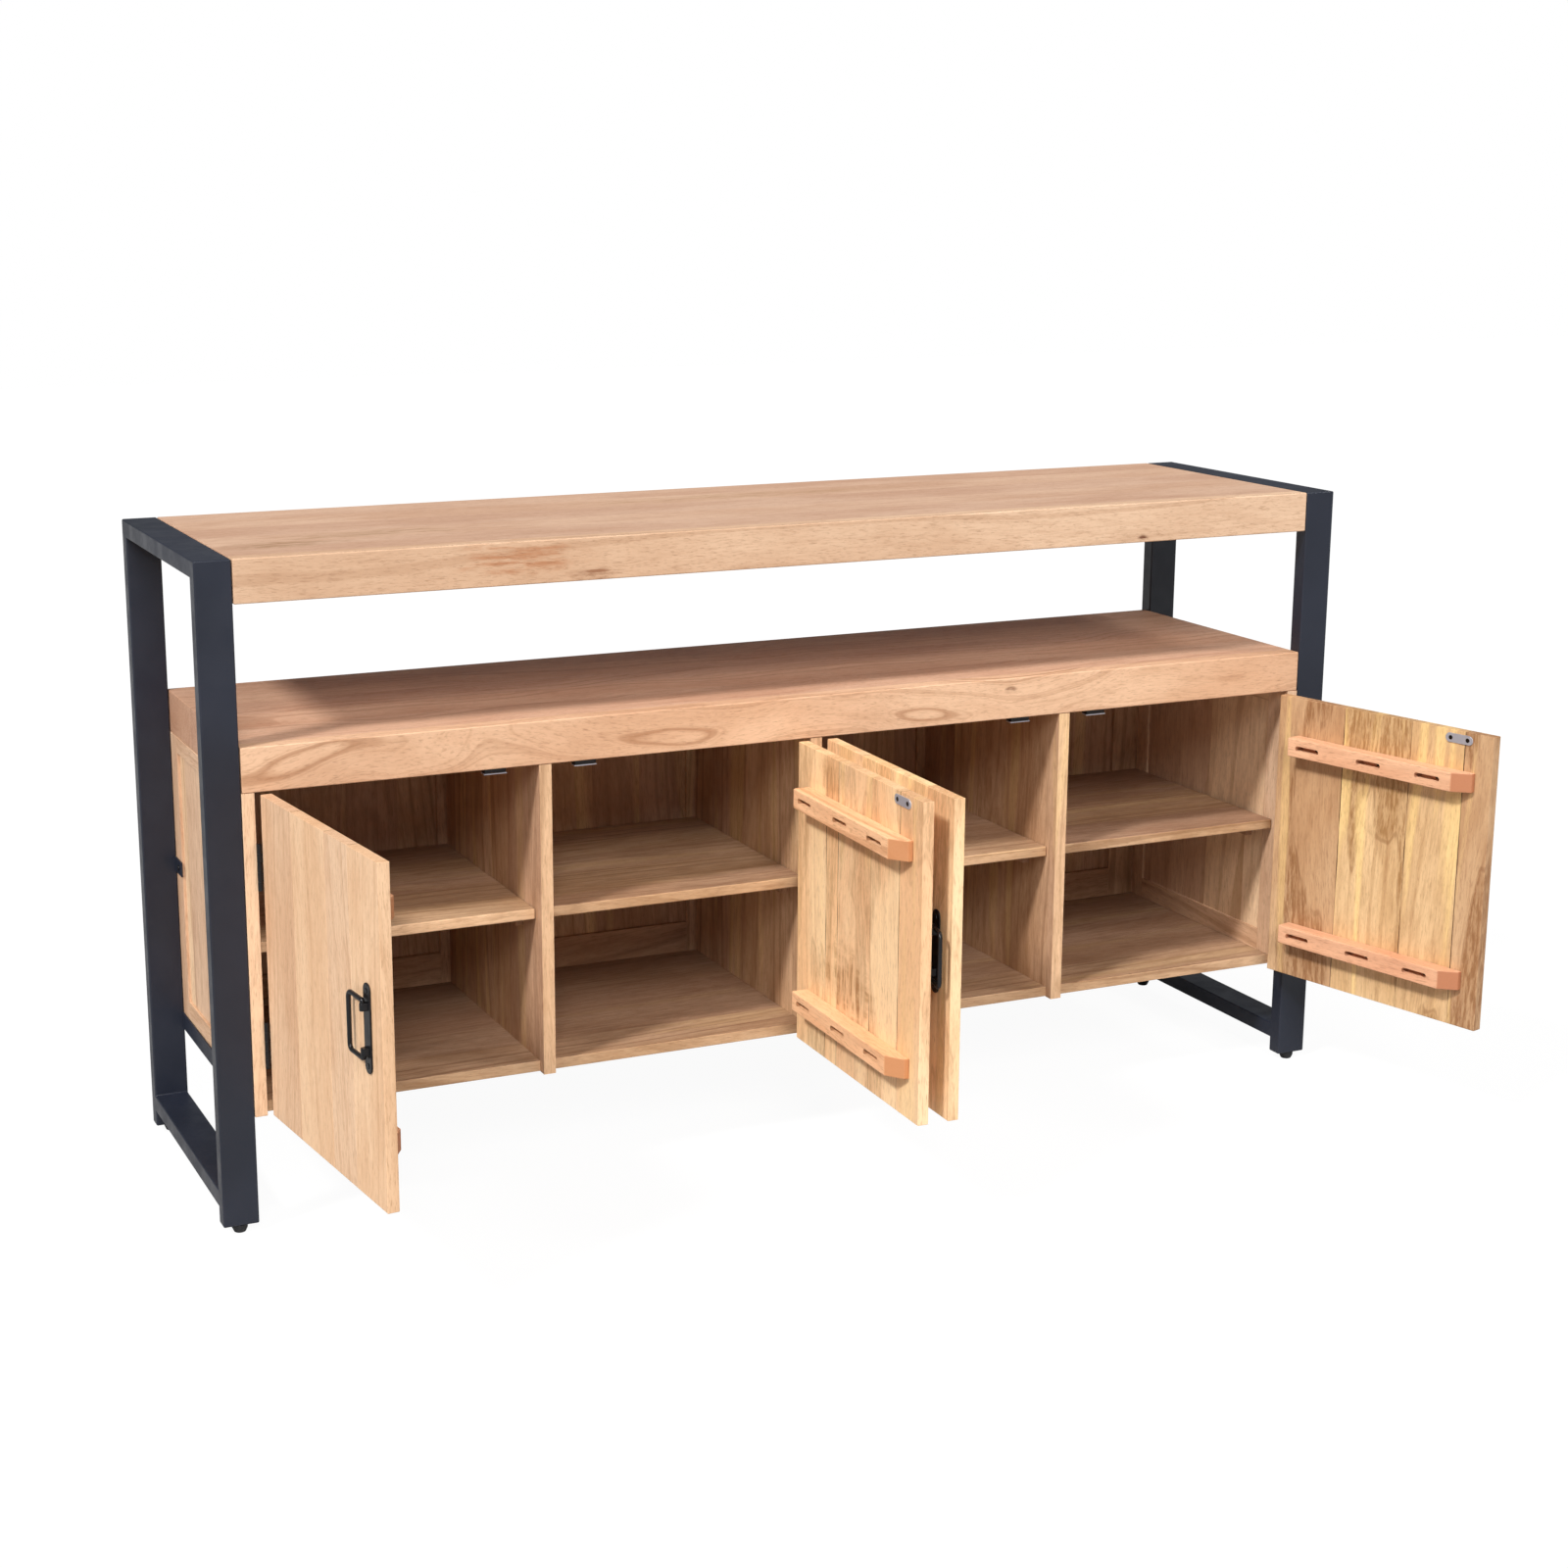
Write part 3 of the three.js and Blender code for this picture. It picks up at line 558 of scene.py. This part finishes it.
for side in ("left", "right"):
    sign = -1 if side == "left" else 1
    lo, hi = built_box(f"{side}_front_leg")
    back = built_box(f"{side}_back_leg")[1].y
    rail = built_box(f"{side}_floor_rail")
    x0, x1 = lo.x, hi.x
    ys = [0.0, TUBE_DEPTH, back - TUBE_DEPTH, back]
    zs = [lo.z, rail[0].z, rail[1].z, HEIGHT - TUBE_DEPTH, HEIGHT]
    legs_and_rails = {(i, j) for i in (0, 2) for j in range(4)} | {(1, 1), (1, 3)}
    bm = soften(grid_frame(x0, x1, ys, zs, legs_and_rails), 2.2 * MM, 3)
    make(f"{side}_welded_frame", bm, "steel",
         replaces=[f"{side}_{n}" for n in ("front_leg", "back_leg", "top_rail", "floor_rail")])

    # the tab that reaches from the back leg to the cabinet, with its screw
    leg_front = back - TUBE_DEPTH
    face = sign * min(abs(x0), abs(x1))
    near, far = sorted((face, face + sign * SHEET))
    tab = block((near, leg_front - TAB_REACH, TAB_LOW), (far, leg_front + 1 * MM, TAB_HIGH))
    make(f"{side}_leg_tab", soften(tab, 0.5 * MM), "steel")
    head = prism(disc_points(leg_front - TAB_SCREW_PLACE, (TAB_LOW + TAB_HIGH) / 2, 4.2 * MM), "x",
                 face + sign * SHEET, face + sign * 4.6 * MM)
    make(f"{side}_tab_screw", soften(head, 0.6 * MM), "iron")

    # the angle that carries the cabinet
    lo, hi = built_box(f"{side}_cabinet_angle")
    out = max(abs(lo.x), abs(hi.x))
    inn = min(abs(lo.x), abs(hi.x))
    section = [(out, lo.z), (inn, lo.z), (inn, lo.z + SHEET), (out - SHEET, lo.z + SHEET),
               (out - SHEET, hi.z), (out, hi.z)]
    angle = soften(prism([(sign * a, z) for a, z in section], "y", lo.y, hi.y), 0.7 * MM)
    make(f"{side}_angle_rail", angle, "steel", replaces=[f"{side}_cabinet_angle"])

    # feet: a fluted, tapered foot under the cap at the end of the leg
    for end in ("front", "back"):
        lo, hi = built_box(f"{side}_{end}_foot")
        cx, cy = (lo.x + hi.x) / 2, (lo.y + hi.y) / 2
        r = (hi.x - lo.x) / 2
        bm = bmesh.new()
        rings = []
        for z, share in FOOT_PROFILE:
            ring = []
            for k in range(FOOT_SIDES):
                flute = 1 - FOOT_FLUTE * (k % 4 == 0) * (FOOT_TAPER_FROM <= z <= FOOT_TAPER_TO)
                a = 2 * math.pi * k / FOOT_SIDES
                ring.append(bm.verts.new((cx + r * share * flute * math.cos(a),
                                          cy + r * share * flute * math.sin(a), z)))
            rings.append(ring)
        skin(bm, rings)
        make(f"{side}_{end}_levelling_foot", bm, "plastic", f"{side}_{end}_foot",
             replaces=[f"{side}_{end}_foot"])
        leg = built_box(f"{side}_{end}_leg")
        y0 = 0.0 if end == "front" else back - TUBE_DEPTH
        cap = block((leg[0].x + LEG_CAP_INSET, y0 + LEG_CAP_INSET, LEG_CAP_LOW),
                    (leg[1].x - LEG_CAP_INSET, y0 + TUBE_DEPTH - LEG_CAP_INSET, LEG_CAP_HIGH))
        make(f"{side}_{end}_leg_cap", soften(cap, 0.25 * MM), "plastic")


# ---------------------------------------------------------------- boards
def board(name, node, material, grain, seams=None, bevel=1.5 * MM, tones=(0.2, 0.9), front=0.0,
          planks=None):
    """A board that fills its node's box."""
    lo, hi = built_box(node)
    bm = block(lo, hi)
    if seams:
        slice_at(bm, *seams)
    soften(bm, bevel)
    return make(name, bm, material, replaces=[node], grain=grain, seams=seams, tones=tones,
                front=front, planks=planks)


# the first tone of each slab is its front plank's, set higher so that the slab's front face is lighter than
# its top: painted light
board("top_slab", "top_board", "top", "x", ("y", [0.026, 0.118, 0.197, 0.286, 0.372]), 1.8 * MM,
      (0.72, 0.30, 0.38, 0.28, 0.40, 0.30))
board("cabinet_top_slab", "cabinet_top", "shelf_top", "x", ("y", [0.026, 0.121, 0.207, 0.290, 0.370]),
      1.8 * MM, (0.62, 0.20, 0.28, 0.12, 0.25, 0.18),
      planks={0: ((3.1, 0.238, 0.004), (0.0, 0.012))})
# front makes the forward edges of the floor and shelves lighter: painted light
lo, hi = built_box("bottom_board")
board("cabinet_floor", "bottom_board", "shelf", "x",
      ("y", uneven("floor", lo.y, hi.y, 0.085)), 1.2 * MM, (0.0, 0.6), front=0.8)
for i in range(1, 5):
    lo, hi = built_box(f"shelf_{i}")
    board(f"shelf_board_{i}", f"shelf_{i}", "shelf", "x",
          ("y", uneven(f"shelf{i}", lo.y, hi.y, 0.09)), 2.2 * MM, front=1.1)


def framed(name, node, depth_axis, material, stiles, rails, panel_in, seams, grain_along):
    """A frame-and-panel wall from its own pieces: upright stiles, level rails, a set-back panel."""
    lo, hi = built_box(node)
    d = "xyz".index(depth_axis)
    pieces = []
    for a, b in stiles:
        p0, p1 = list(lo), list(hi)
        p0[grain_along], p1[grain_along] = a, b
        pieces.append((soften(block(p0, p1), 0.8 * MM), "z"))
    for a, b, z0, z1 in rails:
        p0, p1 = list(lo), list(hi)
        p0[grain_along], p1[grain_along] = a, b
        p0[2], p1[2] = z0, z1
        pieces.append((soften(block(p0, p1), 0.8 * MM), "xy"[grain_along]))
    panel0, panel1 = list(lo), list(hi)
    panel0[d] += panel_in
    panel1[d] -= panel_in
    for i, at in enumerate((panel0, panel1)):
        at[grain_along] += (1, -1)[i] * 0.002
        at[2] += (1, -1)[i] * 0.002
    panel = slice_at(block(panel0, panel1), "xy"[grain_along], seams)
    make(f"{name}_panel", panel, material, replaces=[node], grain="z",
         seams=("xy"[grain_along], seams))
    for k, (bm, along) in enumerate(pieces, 1):
        make(f"{name}_rail_{k}", bm, material, grain=along, tones=(0.3, 0.8))


for side in ("left", "right"):
    node = f"{side}_side_panel"
    lo, hi = built_box(node)
    rail_from, rail_to = lo.y + STILE, hi.y - STILE
    framed(f"{side}_cabinet_side", node, "x", "carcass",
           [(lo.y, rail_from), (rail_to, hi.y)],
           [(rail_from, rail_to, lo.z, lo.z + STILE), (rail_from, rail_to, hi.z - STILE / 2, hi.z)],
           4 * MM, uneven(side, lo.y, hi.y, 0.09), 1)

lo, hi = built_box("back_panel")
partition_x = []
for name in ("left", "middle", "right"):
    a, b = built_box(f"{name}_partition")
    partition_x.append((a.x + b.x) / 2)
stiles = [(lo.x, lo.x + STILE)] + [(x - STILE / 2, x + STILE / 2) for x in partition_x]
stiles.append((hi.x - STILE, hi.x))
rails = []
for (_, a), (b, _) in zip(stiles, stiles[1:]):
    rails.append((a, b, lo.z, lo.z + STILE + 16 * MM))
    rails.append((a, b, hi.z - STILE, hi.z))
framed("cabinet_back", "back_panel", "y", "inside", stiles, rails, 6 * MM,
       uneven("back", lo.x, hi.x, 0.085), 0)

for name in ("left", "middle", "right"):
    node = f"{name}_partition"
    lo, hi = built_box(node)
    outline = [(lo.y, lo.z), (NOSE_DEPTH, lo.z), (NOSE_DEPTH, NOSE_TOP), (hi.y, NOSE_TOP),
               (hi.y, hi.z), (lo.y, hi.z)]
    bm = prism(outline, "x", lo.x, hi.x)
    seams = ("y", [NOSE_DEPTH + 0.001 * MM] + uneven(name, NOSE_DEPTH + 0.05, hi.y, 0.075))
    slice_at(bm, "y", seams[1])
    soften(bm, 1.6 * MM)
    # front makes the partitions' forward edges lighter: painted light
    make(f"{name}_partition_board", bm, "inside", replaces=[node], grain="z", seams=seams,
         tones=(0.15, 1.0), front=0.7)

# shelf cleats, screwed to the walls of each bay
for i in range(1, 5):
    lo, hi = built_box(f"shelf_{i}")
    for label, x0, x1 in (("left", lo.x - 0.1 * MM, lo.x + CLEAT_WIDTH),
                          ("right", hi.x - CLEAT_WIDTH, hi.x + 0.1 * MM)):
        cleat = soften(block((x0, CLEAT_FRONT, lo.z - CLEAT_LOW), (x1, CLEAT_BACK, lo.z - CLEAT_TOP)),
                       1 * MM)
        make(f"shelf_{i}_{label}_cleat", cleat, "inside", grain="y")


# ---------------------------------------------------------------- doors
def door_matrix(n):
    """From the closed door's own coordinates, with x from the wall of the bay, to where it stands."""
    joint = joints[f"door_{n}_hinge"]
    side = SIDES[n]
    closing = joint["range_deg"][1] if side == 1 else joint["range_deg"][0]
    pos = Vector(joint["pos_m"])
    turn = Matrix.Rotation(math.radians(-closing), 4, "Z")
    line = Matrix.Translation((-side * HINGE_AXIS_IN, -HINGE_AXIS_Y, 0))
    return Matrix.Translation((pos.x, pos.y, 0)) @ turn @ line


def cut_with(bm, cutters):
    """The mesh less the cutters, by an exact boolean."""
    def as_object(source):
        mesh = bpy.data.meshes.new("cut")
        source.to_mesh(mesh)
        source.free()
        obj = bpy.data.objects.new("cut", mesh)
        scene.collection.objects.link(obj)
        return obj

    target, tool = as_object(bm), as_object(joined(*cutters))
    modifier = target.modifiers.new("cut", "BOOLEAN")
    modifier.operation = "DIFFERENCE"
    modifier.solver = "EXACT"
    modifier.object = tool
    graph = bpy.context.evaluated_depsgraph_get()
    result = bmesh.new()
    result.from_mesh(target.evaluated_get(graph).to_mesh())
    for obj in (target, tool):
        mesh = obj.data
        bpy.data.objects.remove(obj)
        bpy.data.meshes.remove(mesh)
    return result


STAVES = {1: [0.108, 0.222, 0.300], 2: [0.098, 0.137, 0.243, 0.330], 3: [0.118, 0.205, 0.318],
          4: [0.127, 0.252, 0.348]}
BATTEN_TONES = {1: (0.25, 0.75), 2: (0.45, 0.75), 3: (0.25, 0.75), 4: (0.0, 0.25)}
FACES = {1: "door", 2: "stained_door", 3: "plain_door", 4: "spalted"}
for n in range(1, 5):
    s = SIDES[n]
    M = door_matrix(n)
    body = f"door_{n}"

    # the door: staves with eased edges
    edges = [0.0] + STAVES[n] + [DOOR_WIDTH]
    staves = []
    for a, b in zip(edges, edges[1:]):
        ua, ub = DOOR_EDGE + a, DOOR_EDGE + b
        x0, x1 = sorted((s * ua, s * ub))
        staves.append(soften(block((x0, 0.0, DOOR_LOW), (x1, DOOR_THICK, DOOR_HIGH)), 0.8 * MM))
    seams = sorted(s * (DOOR_EDGE + u) for u in STAVES[n])
    make(f"door_{n}_staves", joined(*staves), FACES[n], body, M, replaces=[f"door_{n}"], grain="z",
         seams=("x", seams), tones=(0.1, 1.0), open_from=DOOR_THICK / 2)

    # battens with their screw slots
    for label, z in (("lower", DOOR_LOW + BATTEN_INSET), ("upper", DOOR_HIGH - BATTEN_INSET)):
        shape = [(s * BATTEN_START, BATTEN_BASE), (s * BATTEN_START, BATTEN_FACE),
                 (s * BATTEN_BEND, BATTEN_FACE), (s * BATTEN_END, BATTEN_TIP),
                 (s * BATTEN_END, BATTEN_BASE)]
        bar = soften(prism(shape, "z", z - BATTEN_HALF, z + BATTEN_HALF), 1.5 * MM, 3, 15)
        floor_y = BATTEN_FACE - SLOT_DEPTH
        slots = [prism(pill_points(s * u, z, SLOT_LENGTH, SLOT_WIDTH), "y", floor_y, BATTEN_FACE + 2 * MM)
                 for u in SLOT_PLACES]
        make(f"door_{n}_{label}_batten_bar", cut_with(bar, slots), "batten", body, M,
             replaces=[f"door_{n}_{label}_batten"], grain="x", tones=BATTEN_TONES[n])
        screws = [soften(prism(disc_points(s * (u + 8 * MM), z, 3.1 * MM, 14), "y",
                               floor_y, floor_y + 4 * MM), 0.6 * MM) for u in SLOT_PLACES]
        make(f"door_{n}_{label}_batten_screws", joined(*screws), "dark_screw", body, M)

    # strike plate with its two screws
    middle_u, middle_z = sum(STRIKE_U) / 2, sum(STRIKE_Z) / 2
    outline = pill_points(s * middle_u, middle_z, STRIKE_U[1] - STRIKE_U[0], STRIKE_Z[1] - STRIKE_Z[0])
    plate = soften(prism(outline, "y", DOOR_THICK + 0.05 * MM, DOOR_THICK + 1.5 * MM), 0.35 * MM, 2, 50)
    make(f"door_{n}_strike_plate", plate, "silver", body, M)
    screws = [soften(prism(disc_points(s * middle_u + off, middle_z, 3.4 * MM, 16), "y",
                           DOOR_THICK + 1.2 * MM, DOOR_THICK + 1.75 * MM), 0.2 * MM)
              for off in (-STRIKE_SCREW_PLACE, STRIKE_SCREW_PLACE)]
    make(f"door_{n}_strike_screws", joined(*screws), "dark_screw", body, M)

    # handle plate, its lugs and its two screws
    outline = pill_points(0, 0, PLATE_LENGTH, PLATE_WIDTH)
    shape = [(s * (HANDLE_U + b), HANDLE_Z + a) for a, b in outline]
    plate = soften(prism(shape, "y", PLATE_FACE, PLATE_BACK), 0.8 * MM, 3, 50)
    lugs = []
    for way in (-1, 1):
        z0, z1 = sorted((HANDLE_Z + way * LUG_LOW, HANDLE_Z + way * LUG_HIGH))
        profile = []
        for degrees in range(0, 181, 15):
            a = math.radians(degrees)
            profile.append((LUG_RADIUS * math.cos(a), -BAIL_OUT - LUG_RADIUS * math.sin(a)))
        profile += [(-5 * MM, -2.4 * MM), (5 * MM, -2.4 * MM)]
        lug = prism([(s * (HANDLE_U + a), b) for a, b in profile], "z", z0, z1)
        lugs.append(soften(lug, 0.5 * MM, 2, 40))
    domes = [soften(prism(disc_points(s * HANDLE_U, HANDLE_Z + way * PLATE_SCREW_PLACE, 3.6 * MM, 18),
                          "y", -4.0 * MM, -2.6 * MM), 0.8 * MM, 3) for way in (-1, 1)]
    make(f"door_{n}_handle_backplate", joined(plate, *lugs, *domes), "iron", body, M,
         replaces=[f"door_{n}_handle_plate"])

    # the bail: a round bar bent into a loop, its thinner ends turned in to the lugs
    path = [(0, LUG_LOW + 0.5 * MM), (0, BAIL_HALF - 2.2 * MM), (0.6 * MM, BAIL_HALF - 0.6 * MM),
            (2.2 * MM, BAIL_HALF)]
    for k in range(7):
        a = math.radians(90 - 15 * k)
        path.append((BAIL_REACH - BAIL_CORNER + BAIL_CORNER * math.cos(a),
                     BAIL_HALF - BAIL_CORNER + BAIL_CORNER * math.sin(a)))
    path += [(a, -b) for a, b in reversed(path)]
    loop = tube([(-s * a, 0, b) for a, b in path], BAIL_RADIUS, 14)
    for v in loop.verts:
        if abs(v.co.x) < 3.4 * MM and abs(v.co.z) < BAIL_HALF - 3.4 * MM:
            v.co.x *= BAIL_PIN
            v.co.y *= BAIL_PIN
    at = M @ Vector((s * HANDLE_U, -BAIL_OUT, HANDLE_Z))
    turn = M.to_3x3().to_4x4() @ Matrix.Rotation(math.radians(s * BAIL_SWINGS[n]), 4, "Z")
    make(f"door_{n}_bail_bar", loop, "iron", f"bail_{n}", Matrix.Translation(at) @ turn,
         replaces=[f"door_{n}_bail"])

    # the magnetic catch: a dark body and its bright pole plate
    lo, hi = built_box(f"magnetic_catch_{n}")
    ears = soften(block((lo.x, lo.y + 2 * MM, hi.z - 3 * MM), (hi.x, hi.y - 2 * MM, hi.z)), 0.6 * MM)
    case = soften(block((lo.x + 4 * MM, lo.y, lo.z + 2 * MM),
                        (hi.x - 4 * MM, hi.y, hi.z - 0.5 * MM)), 1 * MM)
    make(f"catch_{n}_case", joined(ears, case), "plastic", replaces=[f"magnetic_catch_{n}"])
    pole = soften(block((lo.x + 3 * MM, lo.y - 0.3 * MM, lo.z),
                        (hi.x - 3 * MM, hi.y - 2 * MM, lo.z + 2 * MM)), 0.5 * MM)
    make(f"catch_{n}_pole_plate", pole, "silver")


def hinge_leaf(s, z, span, knuckles):
    """The parts of one leaf, from its middle height: its plate, its knuckles and their webs."""
    x0, x1 = sorted((s * span[0], s * span[1]))
    low = z - HINGE_HALF
    parts = [soften(block((x0, 0.3 * MM, low), (x1, LEAF_DEPTH, z + HINGE_HALF)), 0.25 * MM)]
    for k in knuckles:
        z0, z1 = low + KNUCKLE_GAP + k * KNUCKLE, low - KNUCKLE_GAP + (k + 1) * KNUCKLE
        barrel = prism(disc_points(s * HINGE_AXIS_IN, HINGE_AXIS_Y, BARREL_RADIUS, 24), "z", z0, z1)
        parts.append(soften(barrel, 0.35 * MM))
        parts.append(block((x0, HINGE_AXIS_Y, z0), (x1, 0.6 * MM, z1)))
    return parts


# the hinges: a leaf on the door and a leaf with the pin on the post
for n in range(1, 5):
    s = SIDES[n]
    M = door_matrix(n)
    heights = {"lower": DOOR_LOW + HINGE_INSET, "upper": DOOR_HIGH - HINGE_INSET}
    leaves = []
    for z in heights.values():
        leaves += hinge_leaf(s, z, DOOR_LEAF, (1, 3))
    make(f"door_{n}_hinge_leaves", joined(*leaves), "iron", f"door_{n}", M)
    pos = joints[f"door_{n}_hinge"]["pos_m"]
    post = Matrix.Translation((pos[0] - s * HINGE_AXIS_IN, pos[1] - HINGE_AXIS_Y, 0))
    for where, z in heights.items():
        parts = hinge_leaf(s, z, POST_LEAF, (0, 2, 4))
        pin = prism(disc_points(s * HINGE_AXIS_IN, HINGE_AXIS_Y, PIN_RADIUS, 12), "z",
                    z - HINGE_HALF, z + HINGE_HALF)
        parts.append(soften(pin, 0.2 * MM))
        make(f"post_hinge_leaf_{n}_{where}", joined(*parts), "iron", "root", post,
             replaces=[f"post_leaf_{n}_{where}"])


# ---------------------------------------------------------------- camera
camera = bpy.data.objects.new("camera", bpy.data.cameras.new("camera"))
scene.collection.objects.link(camera)
yaw, pitch = math.radians(24.0516), math.radians(-13.3809)
camera.location = (MID_X - 1.63583, FRONT_Y - 3.29655, 1.43624)
camera.rotation_euler = (math.radians(90) + pitch, 0, -yaw)
camera.data.sensor_width = 36
camera.data.lens = 59.381
camera.data.shift_x = 0.0451
camera.data.shift_y = -0.0042
camera.data.clip_end = 100
scene.camera = camera


# ---------------------------------------------------------------- floor, world and lights
def floor_material():
    """A pale floor that also glows to the camera, so that it fades into the backdrop."""
    n = Nodes("pale_floor")
    n.shader.inputs["Base Color"].default_value = (0.45, 0.45, 0.45, 1)
    n.shader.inputs["Roughness"].default_value = 0.9
    glow = n.tree.nodes.new("ShaderNodeEmission")
    glow.inputs["Color"].default_value = (1, 1, 1, 1)
    glow.inputs["Strength"].default_value = 1.1
    seen = n.tree.nodes.new("ShaderNodeLightPath").outputs["Is Camera Ray"]
    blend = n.tree.nodes.new("ShaderNodeMixShader")
    n.link(n.math("MULTIPLY", seen, 0.86), blend.inputs[0])
    n.link(n.shader.outputs[0], blend.inputs[1])
    n.link(glow.outputs[0], blend.inputs[2])
    n.link(blend.outputs[0], n.out.inputs["Surface"])
    return n.material


FLOOR_HALF = 14
bm = bmesh.new()
bmesh.ops.create_grid(bm, x_segments=1, y_segments=1, size=FLOOR_HALF)
mesh = bpy.data.meshes.new("floor")
bm.to_mesh(mesh)
bm.free()
floor = bpy.data.objects.new("floor", mesh)
floor.location = (0, 0, -0.5 * MM)
scene.collection.objects.link(floor)
mesh.materials.append(floor_material())

world = bpy.data.worlds.new("studio")
scene.world = world
world.use_nodes = True
tree = world.node_tree
tree.nodes.clear()
out = tree.nodes.new("ShaderNodeOutputWorld")
shown = tree.nodes.new("ShaderNodeBackground")
shown.inputs["Color"].default_value = (1, 1, 1, 1)
shown.inputs["Strength"].default_value = 1.0
lit = tree.nodes.new("ShaderNodeBackground")
lit.inputs["Color"].default_value = (0.96, 0.98, 1, 1)
lit.inputs["Strength"].default_value = 0.20
path = tree.nodes.new("ShaderNodeLightPath")
mixer = tree.nodes.new("ShaderNodeMixShader")
tree.links.new(path.outputs["Is Camera Ray"], mixer.inputs[0])
tree.links.new(lit.outputs[0], mixer.inputs[1])
tree.links.new(shown.outputs[0], mixer.inputs[2])
tree.links.new(mixer.outputs[0], out.inputs["Surface"])


def distant(name, direction, strength, spread, colour):
    """A soft light from far away; spread is its width in degrees."""
    lamp = bpy.data.lights.new(name, "SUN")
    lamp.energy = strength
    lamp.angle = math.radians(spread)
    lamp.color = colour
    obj = bpy.data.objects.new(name, lamp)
    obj.rotation_euler = Vector(direction).to_track_quat("-Z", "Y").to_euler()
    obj.location = -Vector(direction) * 3
    scene.collection.objects.link(obj)


distant("key", (0.87, 0.36, -0.94), 2.75, 8, (1.0, 0.99, 0.975))
distant("front", (0.22, 0.85, -0.62), 2.25, 24, (1.0, 0.99, 0.985))
distant("side", (-0.72, 0.34, -0.90), 0.8, 10, (1.0, 0.995, 0.99))
scene.view_settings.view_transform = "Standard"
scene.view_settings.look = "None"
scene.cycles.use_denoising = True
